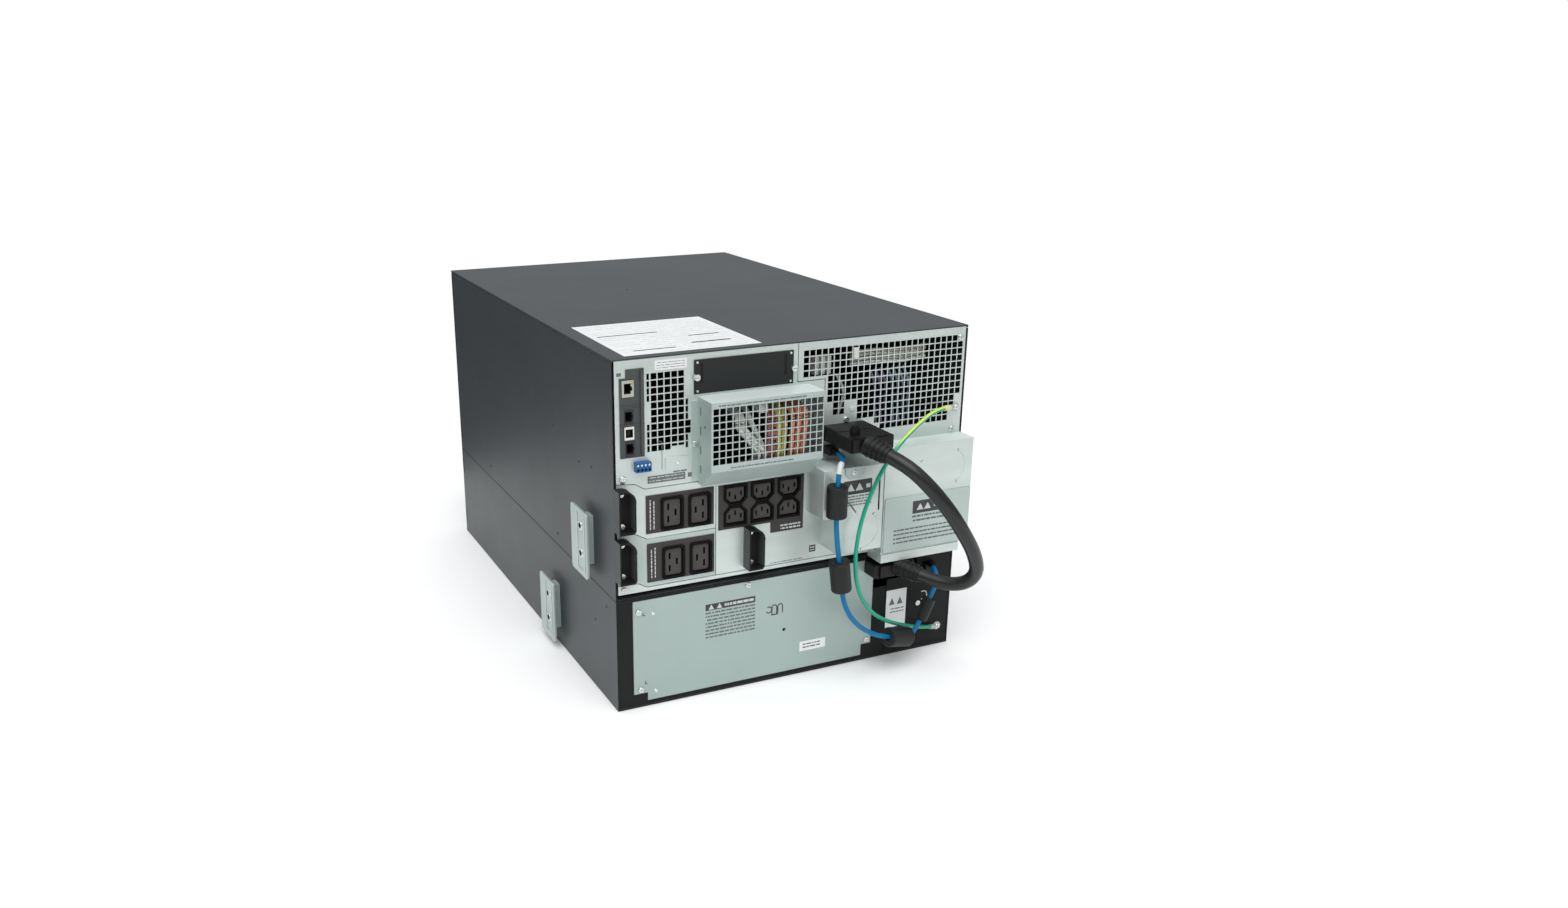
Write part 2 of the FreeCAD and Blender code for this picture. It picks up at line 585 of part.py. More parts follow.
def cord_bracket(x, z):
    """Black holder that a power cord is tied to: a deep D shaped rim on a back plate."""
    width, height = BRACKET_SIZE
    y = REAR

    def hoop(inset):
        left, right = x - inset, x - width + inset
        low, high = z + inset, z + height - inset
        line = [Vec(left, y, low), Vec(left, y, high), Vec(x - 8, y, high)]
        crown = Part.Arc(Vec(x - 8, y, high), Vec(right + 2.2, y, high - 5), Vec(right, y, high - 15))
        foot = Part.Arc(Vec(right, y, low + 4), Vec(right + 1.2, y, low + 1.2), Vec(right + 4, y, low))
        edges = [Part.makeLine(line[0], line[1]), Part.makeLine(line[1], line[2]), crown.toShape(),
                 Part.makeLine(Vec(right, y, high - 15), Vec(right, y, low + 4)), foot.toShape(),
                 Part.makeLine(Vec(right + 4, y, low), line[0])]
        return Part.Wire(edges)

    rim = plate(hoop(0), BRACKET_RISE, [hoop(1.8)])
    return fuse([rim, plate(hoop(0), 1.6)])


# ---- conduit boxes ---------------------------------------------------------------------
def conduit_box_small():
    """Hard-wiring box: its lower left corner steps in, and its back is open to the panel."""
    box = SMALL_BOX
    right, left = box["x"]
    low, high = box["z"]
    rise = box["rise"]
    edge = [(right, low), (right, high), (left, high), (left, box["step_z"]),
            (box["low_x"], box["step_z"]), (box["low_x"], low)]
    outer = plate(outline(edge, REAR), rise)
    t = CAGE_SHEET
    inner_edge = [(right + t, low + t), (right + t, high - t), (left - t, high - t),
                  (left - t, box["step_z"] + t), (box["low_x"] - t, box["step_z"] + t),
                  (box["low_x"] - t, low + t)]
    inner = plate(outline(inner_edge, REAR - 1), rise + 1 - t)
    x, z, radius, _ = KNOCKOUTS[0]
    hole = rod((x, REAR + rise - 3, z), (x, REAR + rise + 1, z), radius + 0.25)
    slot = block((-84, -82.2), (REAR + rise - 3, REAR + rise + 1), (203, 241))
    return outer.cut(inner).cut(hole).cut(slot)


def conduit_box_large():
    box = LARGE_BOX
    rise = box["rise"]
    t = CAGE_SHEET
    outer = block(box["x"], (REAR, REAR + rise), box["z"])
    lip = block(LARGE_LIP["x"], (REAR, REAR + LARGE_LIP["rise"]), LARGE_LIP["z"])
    step = block(LARGE_LIP["x"], (REAR, REAR + rise), (LARGE_LIP["z"][1] - 1, box["z"][0] + 2))
    x, z = box["x"], box["z"]
    inner = block((x[0] + t, x[1] - t), (REAR - 1, REAR + rise - t), (z[0] + t, z[1] - t))
    body = fuse([outer, lip, step]).cut(inner)
    body = body.cut(block((LARGE_LIP["x"][0] + t, LARGE_LIP["x"][1] - t),
                          (REAR - 1, REAR + LARGE_LIP["rise"] - t),
                          (LARGE_LIP["z"][0] + t, LARGE_LIP["z"][1] - t)))
    for kx, kz, radius, _ in KNOCKOUTS[1:]:
        body = body.cut(rod((kx, REAR + rise - 3, kz), (kx, REAR + rise + 1, kz), radius + 0.25))
    return body


def conduit_cover_plate():
    rise = LARGE_BOX["rise"]
    return block((-214.6, -99.0), (REAR + rise, REAR + rise + 1.2), (144.2, COVER_SPLIT_Z))


def knockouts():
    """Punched discs, each still held in its hole."""
    return group([rod((x, REAR + rise - CAGE_SHEET, z), (x, REAR + rise, z), radius)
                  for x, z, radius, rise in KNOCKOUTS])


# ---- battery connection ----------------------------------------------------------------
def battery_receptacle(plug):
    """Panel housing that the battery plug pushes into."""
    low_x, high_x = plug["socket_x"]
    half_z = PLUG_HEIGHT / 2 + 0.4
    base = REAR + plug["socket_rise"]
    z = plug["z"]
    body = block((low_x, high_x), (base, REAR + plug["rise"][0] - 0.2), (z - half_z, z + half_z))
    ear = block((low_x - 1.2, high_x + 1.2), (base, base + 3), (z - half_z + 2, z + half_z - 2))
    return fuse([body, ear])


def strain_relief(start, end, radius_a, radius_b):
    """Tapered ribbed sleeve between two points of the cord's line."""
    axis = Vec(*end) - Vec(*start)
    length = axis.Length
    sleeve = Part.makeCone(radius_a, radius_b, length, Vec(*start), axis)
    unit = Vec(axis).normalize()
    for rib in range(4):
        spot = Vec(*start) + unit * (length * (0.16 + 0.2 * rib))
        radius = radius_a + (radius_b - radius_a) * (0.16 + 0.2 * rib) + 0.9
        sleeve = sleeve.fuse(Part.makeCylinder(radius, length * 0.1, spot, unit))
    return sleeve


def plug_body(plug):
    x, z = plug["x"], plug["z"]
    back, front = plug["rise"]
    body = block((x - PLUG_WIDTH / 2, x + PLUG_WIDTH / 2), (REAR + back, REAR + front),
                 (z - PLUG_HEIGHT / 2, z + PLUG_HEIGHT / 2))
    along = [edge for edge in body.Edges if abs(edge.tangentAt(edge.FirstParameter).y) > 0.99]
    return body.makeFillet(2.0, along)


def end_sleeve(end, inner, length, root_radius):
    """Strain relief that ends at a route's end and points along its last run."""
    tip = Vec(end[0], REAR + end[1], end[2])
    towards = (Vec(*inner) - Vec(*end)).normalize()
    return strain_relief(tuple(tip - towards * length), tuple(tip), root_radius, 9.3)


def battery_plug():
    x, z = UPS_PLUG["x"], UPS_PLUG["z"]
    front = REAR + UPS_PLUG["rise"][1]
    grip_y = front - 16
    sleeve = end_sleeve(BATTERY_ROUTE[0], BATTERY_ROUTE[1], 28.0, 11.5)
    head = block((x - 21, x + 25), (front - 6, front + 3), (z - 7, z + 7))
    knob = rod((x + 12, grip_y, z + 7), (x + 12, grip_y, z + 15), 5.5)
    collar = rod((x + 12, grip_y, z + 14.5), (x + 12, grip_y, z + 18.5), 4.0)
    return fuse([plug_body(UPS_PLUG), head, sleeve, knob, collar])


def pack_plug():
    x, z = PACK_PLUG["x"], PACK_PLUG["z"]
    back, front = PACK_PLUG["rise"]
    sleeve = end_sleeve(BATTERY_ROUTE[-1], BATTERY_ROUTE[-2], 30.0, 10.5)
    keep = block((-SIDE, SIDE), (REAR + back + 6, REAR + 200), (0, SLEEVE_TOP))
    head = block((x - 24, x + 20), (REAR + front - 4, REAR + front + 3), (z - 7, z + 7))
    return fuse([plug_body(PACK_PLUG), head, sleeve.common(keep)])


# ---- ground and signal leads -----------------------------------------------------------
def ground_lugs():
    """Ring terminals under the ground screws, with the barrel that grips the wire."""
    solids = []
    for (x, z), near, inner in [(GROUND_STUDS[0], GROUND_ROUTE[0], GROUND_ROUTE[1]),
                                (GROUND_STUDS[1], GROUND_ROUTE[-1], GROUND_ROUTE[-2])]:
        ring = plate(circle((x, z), 5.0, REAR + 0.2), 1.2, [circle((x, z), 2.2, REAR + 0.2)])
        mouth = Vec(near[0], REAR + near[1], near[2])
        along = (Vec(inner[0], REAR + inner[1], inner[2]) - mouth).normalize()
        barrel = Part.makeCylinder(3.0, 7.0, mouth - along * 7.0, along)
        neck_end = mouth - along * 5.0
        neck_start = Vec(x + 4.2, REAR + 0.9, z)
        reach = neck_end - neck_start
        neck = Part.makeCone(1.8, 2.6, reach.Length, neck_start, reach)
        below = block((x - 20, x + 30), (REAR - 10, REAR + 0.2), (z - 20, z + 20))
        head_room = rod((x, REAR + 1.4, z), (x, REAR + 8, z), SCREW_R + 0.3)
        solids.append(fuse([ring, neck, barrel]).cut(below).cut(head_room))
    return group(solids)


def core_on_run(route, run, length, outer_r, bore_r):
    """A ferrite tube centred on one straight run of a route."""
    points = route_points(route)
    start, end = points[run], points[run + 1]
    unit = (end - start).normalize()
    middle = (points[run] + points[run + 1]) * 0.5
    base = middle - unit * (length / 2)
    core = Part.makeCylinder(outer_r, length, base, unit)
    rims = [edge for edge in core.Edges if abs(edge.Length - 2 * math.pi * outer_r) < 0.1]
    core = core.makeFillet(min(1.6, outer_r / 5), rims)
    return core.cut(Part.makeCylinder(bore_r, length + 4, base - unit * 2, unit))


def ferrite_cores():
    cores = [core_on_run(SIGNAL_ROUTE, run, length, FERRITE_R, FERRITE_BORE_R)
             for run, length in FERRITE_RUNS]
    cores.append(core_on_run(SIGNAL_ROUTE, CLIP_RUN, CLIP_LENGTH, CLIP_R, 3.6))
    return group(cores)


def signal_plugs():
    """Moulded ends of the signal cable, and the sockets' latch side of each."""
    upper = SIGNAL_ROUTE[0]
    body = block((upper[0] - 6, upper[0] + 6), (REAR, REAR + 15), (upper[2] - 4, upper[2] + 4))
    tongue = block((upper[0] - 4, upper[0] + 3.5), (REAR - 6, REAR + 1),
                   (upper[2] - 3.5, upper[2] + 3.5))
    boot = Part.makeCone(4.4, 3.2, upper[1] - 14.5, Vec(upper[0], REAR + 14.5, upper[2]), Vec(0, 1, 0))
    lower = SIGNAL_ROUTE[-1]
    tip = Vec(lower[0], REAR + lower[1], lower[2])
    outwards = (Vec(*SIGNAL_ROUTE[-2]) - Vec(*lower)).normalize()
    low_body = block((lower[0] - 6, lower[0] + 6), (REAR - 6, REAR + 7), (lower[2] - 8, lower[2] + 1))
    low_boot = Part.makeCone(4.2, 3.2, 10.0, tip - outwards * 10.0, outwards)
    return group([fuse([body, tongue, boot]), fuse([low_body, low_boot])])


# ---- pack rear -------------------------------------------------------------------------
def pack_rear_plate():
    y = REAR - 0.9
    edge = [(197, 16.6), (197, 127), (-105, 127), (-105, 20.8), (-92, 20.8), (-92, 7),
            (180.6, 7), (180.6, 16.6)]
    return plate(outline(edge, y), 1.3, [circle((12, 60), 2.0, y)])


def pack_connector_panel():
    """Dark plate with the signal socket, and the bezel round the battery socket."""
    y = REAR - 0.9
    edge = [(-125, 6), (-125, 98), (-166, 98), (-166, 128), (-212, 128), (-212, 6)]
    opening = rectangle((-187, -173), (100, 112), y)
    face = plate(outline(edge, y), 1.0, [opening])
    jack = block((-188.5, -171.5), (REAR - 16, REAR - 0.9), (98.5, 113.5))
    jack = jack.cut(block((-186.8, -173.2), (REAR - 14, REAR + 1), (100.2, 111.8)))
    return fuse([face, jack])


def rear_screws():
    """Cross-head pan screws of the rear, one solid each."""
    flush = [(-201.4, 273.8), (-60.0, 300.5), (-206.0, 380.0), (206.0, 267.0),
             (206.5, 142.9)]
    deep = [(124.3, 295.5, CAGE_SHEET), (-15.6, 300.0, CAGE_SHEET),
            (-49.6, 251.6, SMALL_BOX["rise"])]
    tied = []
    for x, z in CORD_BRACKETS:
        tied += [(x - 7.2, z + BRACKET_SIZE[1] - 6.2, 1.6), (x - 8.0, z + 5.6, 1.6)]
    pack = [(191, 114.6, 0.4), (189, 21.5, 0.4), (59, 123.4, 0.4), (-99.0, 26.0, 0.4),
            (-169, 60.7, 0.1)]
    studs = [(x, z, 1.4) for x, z in GROUND_STUDS]
    solids = []
    for x, z, rise in [(x, z, 0.0) for x, z in flush] + deep + tied + pack + studs:
        base = REAR + rise
        head = rod((x, base, z), (x, base + SCREW_HEIGHT, z), SCREW_R)
        rim = [edge for edge in head.Edges
               if abs(edge.Length - 2 * math.pi * SCREW_R) < 0.1 and edge.BoundBox.YMin > base + 1]
        head = head.makeFillet(0.9, rim)
        for size in ((2.2, 0.35), (0.35, 2.2)):
            head = head.cut(block((x - size[0], x + size[0]), (base + 1.0, base + 4),
                                  (z - size[1], z + size[1])))
        solids.append(head)
    return group(solids)


# ---- front -----------------------------------------------------------------------------
def bezel_shell(low, high, slot_rows, bays):
    """Moulded front: a thin skin with side walls and rows of louvre slots."""
    front = FRONT - BEZEL_DEPTH
    outer = block((-BEZEL_HALF, BEZEL_HALF), (front, FRONT), (low, high))
    upright = [edge for edge in outer.Edges if abs(edge.tangentAt(edge.FirstParameter).z) > 0.99
               and edge.BoundBox.YMin < front + 1]
    outer = outer.makeFillet(6.0, upright)
    inner = block((-BEZEL_HALF + 3, BEZEL_HALF - 3), (front + 3, FRONT + 1), (low + 3, high - 3))
    skin = outer.cut(inner)
    slots = [block(bay, (front - 1, front + 5), (z, z + 4.2)) for z in slot_rows for bay in bays]
    return skin.cut(group(slots))


def ups_bezel():
    rows = [148.0 + 9.0 * step for step in range(15)]
    body = bezel_shell(135.0, 386.0, rows, [(-196, -70), (-62, 62), (70, 196)])
    front = FRONT - BEZEL_DEPTH
    width, deep, height = POD_SIZE
    low = POD_TOP - height - 2.0
    high = POD_TOP + 1.0
    half = width / 2 + POD_GAP
    tray = block((-half - 3, half + 3), (front, front + deep + 5), (low - 3, high + 3))
    pocket = block((-half, half), (front - 1, front + deep + 2), (low, high))
    return fuse([body, tray]).cut(pocket)


def pack_bezel():
    rows = [20.0 + 9.0 * step for step in range(10)]
    return bezel_shell(4.0, 125.5, rows, [(-196, -70), (-62, 62), (70, 196)])


def display_pod():
    """Tilting control pod: housing, window and the pockets of its keys."""
    front = FRONT - BEZEL_DEPTH
    width, deep, height = POD_SIZE
    body = block((-width / 2, width / 2), (front, front + deep), (POD_TOP - height, POD_TOP))
    window = block((-27, 27), (front - 1, front + 1.2), (POD_TOP - 52, POD_TOP - 12))
    body = body.cut(window)
    for x, z, radius in KEYS.values():
        body = body.cut(rod((x, front - 1, z), (x, front + KEY_SINK, z), radius + KEY_CLEARANCE))
    return body


def key_cap(name):
    x, z, radius = KEYS[name]
    front = FRONT - BEZEL_DEPTH
    cap = rod((x, front - KEY_TRAVEL, z), (x, front + KEY_SINK - KEY_TRAVEL - 0.3, z), radius)
    rim = [edge for edge in cap.Edges
           if abs(edge.Length - 2 * math.pi * radius) < 0.1 and edge.BoundBox.YMax < front]
    return cap.makeFillet(0.6, rim)


# ---- inside ----------------------------------------------------------------------------
def fan_frames():
    solids = []
    for x in FAN_X:
        half = FAN_SIZE / 2
        frame = plate(rectangle((x - half, x + half), (FAN_Z - half, FAN_Z + half), FAN_Y), FAN_DEPTH,
                      [circle((x, FAN_Z), FAN_BORE_R, FAN_Y)])
        spokes = [block((x - half + 1, x + half - 1), (FAN_Y, FAN_Y + 2.5), (FAN_Z - 2, FAN_Z + 2)),
                  block((x - 2, x + 2), (FAN_Y, FAN_Y + 2.5), (FAN_Z - half + 1, FAN_Z + half - 1))]
        motor = rod((x, FAN_Y, FAN_Z), (x, FAN_Y + 3, FAN_Z), 16)
        pin = rod((x, FAN_Y + 2, FAN_Z), (x, FAN_Y + 15, FAN_Z), FAN_PIN_R)
        solids.append(fuse([frame, motor, pin] + spokes))
    return group(solids)


def fan_rotor(x):
    start = FAN_Y + 4.0
    hub = rod((x, start, FAN_Z), (x, start + 18, FAN_Z), 17)
    blades = []
    for turn in range(FAN_BLADES):
        blade = Part.makeBox(19.0, 1.8, 26.0, Vec(-9.5, -0.9, 15.0))
        blade.rotate(Vec(0, 0, 0), Vec(0, 0, 1), 38)
        blade.rotate(Vec(0, 0, 0), Vec(0, 1, 0), 360.0 * turn / FAN_BLADES)
        blade.translate(Vec(x, start + 9, FAN_Z))
        blades.append(blade)
    bore = rod((x, start - 1, FAN_Z), (x, start + 12, FAN_Z), FAN_PIN_R + FAN_CLEARANCE)
    reach = rod((x, start - 2, FAN_Z), (x, start + 22, FAN_Z), FAN_BORE_R - 2)
    return fuse([hub] + blades).common(reach).cut(bore)


def power_board():
    """Main power board with its heat sinks and large capacitors."""
    board = block((-200, 200), (60, 262), (150, 153))
    parts = [board]
    for x in (-150, -50, 50, 150):
        parts.append(block((x - 30, x + 30), (70, 220), (153, 160)))
        parts += [block((x - 30 + 12 * fin, x - 26 + 12 * fin), (70, 220), (159, 225))
                  for fin in range(6)]
    parts += [rod((x, 242, 153), (x, 242, 200), 12) for x in range(-170, 171, 34)]
    return fuse(parts)


def ups_batteries():
    """Four battery cartridges behind the front."""
    return group([block((x - 88, x + 88), (-296, -30), (z, z + 66))
                  for x in (-92, 92) for z in (150, 222)])


def pack_batteries():
    return group([block((x - 46, x + 46), (-296, 236), (6, 108)) for x in (-144, -48, 48, 144)])


# ---- build -----------------------------------------------------------------------------
def build():
    parts = {
        "ups_chassis": ups_chassis(),
        "ups_top_cover": ups_top_cover(),
        "rear_panel": rear_panel(),
        "rear_vent_panel": rear_vent_panel(),
        "outlet_panel_upper": outlet_panel_upper(),
        "outlet_panel_lower": outlet_panel_lower(),
        "outlet_panel_right": outlet_panel_right(),
        "comms_faceplate": comms_faceplate(),
        "network_jack": network_jack(),
        "io_jacks": io_jacks(),
        "usb_port": usb_port(),
        "terminal_block": terminal_block(),
        "slot_cover": slot_cover(),
        "thumbscrews": thumbscrews(),
        "wiring_cover": wiring_cover(),
        "output_terminals": output_terminals(),
        "output_wires_white": output_wires_white(),
        "output_wire_brown": output_wire(3, 43.0),
        "output_wire_yellow": output_wire(2, 33.0),
        "output_wire_orange": output_wire(0, 15.5),
        "c19_plates": c19_plates(),
        "c19_sockets_upper": c19_sockets("upper"),
        "c19_sockets_lower": c19_sockets("lower"),
        "c13_plate": c13_plate(),
        "c13_sockets_upper": c13_sockets("upper"),
        "c13_sockets_lower": c13_sockets("lower"),
        "conduit_box_small": conduit_box_small(),
        "conduit_box_large": conduit_box_large(),
        "conduit_cover_plate": conduit_cover_plate(),
        "knockouts": knockouts(),
        "battery_receptacle": battery_receptacle(UPS_PLUG),
        "battery_plug": battery_plug(),
        "battery_cable": cord_tube("battery cable", BATTERY_ROUTE, BATTERY_CABLE_D),
        "pack_receptacle": battery_receptacle(PACK_PLUG),
        "pack_plug": pack_plug(),
        "ground_wire": cord_tube("ground wire", GROUND_ROUTE, GROUND_WIRE_D),
        "ground_lugs": ground_lugs(),
        "signal_cable": cord_tube("signal cable", SIGNAL_ROUTE, SIGNAL_CABLE_D),
        "signal_plugs": signal_plugs(),
        "ferrite_cores": ferrite_cores(),
        "pack_chassis": pack_chassis(),
        "pack_rear_plate": pack_rear_plate(),
        "pack_connector_panel": pack_connector_panel(),
        "rail_brackets": rail_brackets(),
        "rear_screws": rear_screws(),
        "ups_bezel": ups_bezel(),
        "pack_bezel": pack_bezel(),
        "display_pod": display_pod(),
        "fan_frames": fan_frames(),
        "power_board": power_board(),
        "ups_batteries": ups_batteries(),
        "pack_batteries": pack_batteries(),
    }
    for number, place in enumerate(CORD_BRACKETS, 1):
        parts["cord_bracket_%d" % number] = cord_bracket(*place)
    for number, x in enumerate(FAN_X, 1):
        parts["fan_rotor_%d" % number] = fan_rotor(x)
    for name in KEYS:
        parts[name] = key_cap(name)
    return parts


def main():
    os.makedirs("parts", exist_ok=True)
    for name, shape in build().items():
        if not shape.isValid() or shape.Volume <= 0:
            raise ValueError(name + " is not a valid shape")
        shape.exportStep("parts/%s.step" % name)


main()
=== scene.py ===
"""Rack UPS on its battery pack, seen from the wired rear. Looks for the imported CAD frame.

Lengths in the tables below are millimetres. "Rise" is the distance outwards from the rear
panel plane, along +Y. The mesh helpers turn everything into metres.
"""

import bpy
import bmesh
import math
import random
from mathutils import Matrix, Vector
from mathutils.geometry import interpolate_bezier


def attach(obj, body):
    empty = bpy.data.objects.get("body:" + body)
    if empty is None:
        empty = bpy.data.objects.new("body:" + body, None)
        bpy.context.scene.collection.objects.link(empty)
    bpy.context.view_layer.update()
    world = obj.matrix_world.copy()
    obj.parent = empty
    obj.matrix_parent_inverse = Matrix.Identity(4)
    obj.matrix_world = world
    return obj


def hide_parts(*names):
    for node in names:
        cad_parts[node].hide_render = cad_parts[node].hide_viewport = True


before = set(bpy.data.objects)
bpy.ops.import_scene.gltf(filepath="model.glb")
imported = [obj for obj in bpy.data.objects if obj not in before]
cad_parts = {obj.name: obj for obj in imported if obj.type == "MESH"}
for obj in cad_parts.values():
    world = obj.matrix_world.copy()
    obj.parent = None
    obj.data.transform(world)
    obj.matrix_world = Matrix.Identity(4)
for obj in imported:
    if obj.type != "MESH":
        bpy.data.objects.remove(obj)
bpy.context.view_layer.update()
scene = bpy.context.scene

MM = 0.001
REAR = 315.0             # rear panel plane
FRONT = -335.0           # face of the moulded fronts
SIDE = 216.0
TOP = 393.0
PACK_SEAM = 130.0        # the power unit stands on the pack here
LARGE_OUTLETS = [(150.8, 222.5, 1), (118.7, 221.7, -1),    # x, z, 1 or -1 for the way its key faces
                 (149.5, 166.5, 1), (117.2, 166.5, -1)]
STANDARD_OUTLET_ROWS = [(232.0, 1), (208.5, -1)]           # z, and which way up
STANDARD_OUTLET_COLUMNS = [76.0, 43.2, 10.5]
CABINET = "cabinet"      # the CAD body that everything fixed rides on

# ---- camera ------------------------------------------------------------------------------
CAMERA_PLACE = (0.660, 1.484, 0.677)
CAMERA_TURN = (70.96, 0.07, 155.57)      # degrees
CAMERA_LENS = 29.33
CAMERA_SHIFT = (0.060, 0.029)

FILL_RANGE = (0.05, 1.05)            # room light: darkest, and brightest towards FILL_FROM
FILL_FROM = (0.0, 0.0, 1.0)
FLOOR_X = (-1.6, 1.6)                # pale floor sheet, metres
FLOOR_Y = (-0.62, 2.4)
SUN_STRENGTH = 2.0       # one large soft light, above and behind the camera
SUN_FROM = (0.35, 0.75, 1.35)

# ---- cords: x, rise, z, the same points as the CAD routes ----------------------------------
BATTERY_ROUTE = [(-62.6, 83.8, 281), (-72.5, 102.5, 275), (-90, 118, 256), (-112, 127, 228),
                 (-136, 125, 196), (-158, 117, 166), (-174, 104, 137), (-172, 86, 117),
                 (-155, 66, 112), (-139, 44, 118)]
GROUND_ROUTE = [(-193, 6, 300.5), (-176, 14, 303), (-153, 25, 301.5), (-128, 37, 294),
                (-104, 46, 282), (-83, 51, 263), (-68, 53, 241), (-57, 53.5, 217),
                (-49.5, 54, 193), (-46, 54, 169), (-46.5, 53, 145), (-52, 50.5, 120),
                (-64.5, 46, 96.5), (-85, 39, 75), (-113, 29, 57), (-144, 18.5, 42.5),
                (-170, 10, 32), (-186, 5, 27.5)]
SIGNAL_ROUTE = [(-37, 24, 270), (-37, 38, 270), (-24, 50, 266), (-19.5, 54, 247),
                (-20.0, 53, 207), (-21.0, 53.8, 184), (-25.0, 53.2, 161), (-31.5, 51.5, 117),
                (-39, 50, 95), (-53, 48, 75), (-74, 45, 58), (-99, 41, 46),
                (-141, 30, 34), (-158, 23, 47), (-170, 25, 79), (-174.5, 28.5, 96),
                (-178, 22, 106.5), (-180, 13, 109)]


def place(x, rise, z):
    """A point in metres from its x, rise and z."""
    return Vector((x * MM, (REAR + rise) * MM, z * MM))


def add_camera():
    data = bpy.data.cameras.new("camera")
    camera = bpy.data.objects.new("camera", data)
    scene.collection.objects.link(camera)
    camera.location = CAMERA_PLACE
    camera.rotation_euler = [math.radians(angle) for angle in CAMERA_TURN]
    data.lens = CAMERA_LENS
    data.shift_x, data.shift_y = CAMERA_SHIFT
    data.clip_end = 50.0
    scene.camera = camera


add_camera()


# ---- materials -----------------------------------------------------------------------------
def finish(name, color, roughness, metallic=0.0, mottle=0.06, mottle_scale=9.0,
           bump=0.0, bump_scale=900.0, stretch=(1, 1, 1), specular=0.5, coat=0.0,
           rough_spread=0.08, emission=None):
    """A procedural finish: cloudy colour, uneven roughness and a fine surface grain."""
    made = bpy.data.materials.new(name)
    made.use_nodes = True
    nodes, links = made.node_tree.nodes, made.node_tree.links
    shader = nodes["Principled BSDF"]
    shader.inputs["Metallic"].default_value = metallic
    shader.inputs["Specular IOR Level"].default_value = specular
    shader.inputs["Coat Weight"].default_value = coat
    coords = nodes.new("ShaderNodeTexCoord")
    mapping = nodes.new("ShaderNodeMapping")
    mapping.inputs["Scale"].default_value = stretch
    links.new(coords.outputs["Object"], mapping.inputs["Vector"])

    def noise(scale, detail):
        node = nodes.new("ShaderNodeTexNoise")
        node.inputs["Scale"].default_value = scale
        node.inputs["Detail"].default_value = detail
        links.new(mapping.outputs["Vector"], node.inputs["Vector"])
        return node.outputs["Fac"]

    cloud = noise(mottle_scale, 6.0)
    ramp = nodes.new("ShaderNodeValToRGB")
    ramp.color_ramp.elements[0].position = 0.3
    ramp.color_ramp.elements[1].position = 0.7
    ramp.color_ramp.elements[0].color = [c * (1 - mottle) for c in color] + [1]
    ramp.color_ramp.elements[1].color = [min(1, c * (1 + mottle)) for c in color] + [1]
    links.new(cloud, ramp.inputs["Fac"])
    links.new(ramp.outputs["Color"], shader.inputs["Base Color"])

    spread = nodes.new("ShaderNodeMapRange")
    spread.inputs["To Min"].default_value = max(0.03, roughness - rough_spread)
    spread.inputs["To Max"].default_value = min(1, roughness + rough_spread)
    links.new(noise(mottle_scale * 3.3, 4.0), spread.inputs["Value"])
    links.new(spread.outputs["Result"], shader.inputs["Roughness"])

    if bump:
        grain = nodes.new("ShaderNodeBump")
        grain.inputs["Strength"].default_value = 0.6
        grain.inputs["Distance"].default_value = bump
        links.new(noise(bump_scale, 2.0), grain.inputs["Height"])
        links.new(grain.outputs["Normal"], shader.inputs["Normal"])
    if emission:
        shader.inputs["Emission Color"].default_value = (*emission, 1)
        shader.inputs["Emission Strength"].default_value = 1.2
    return made


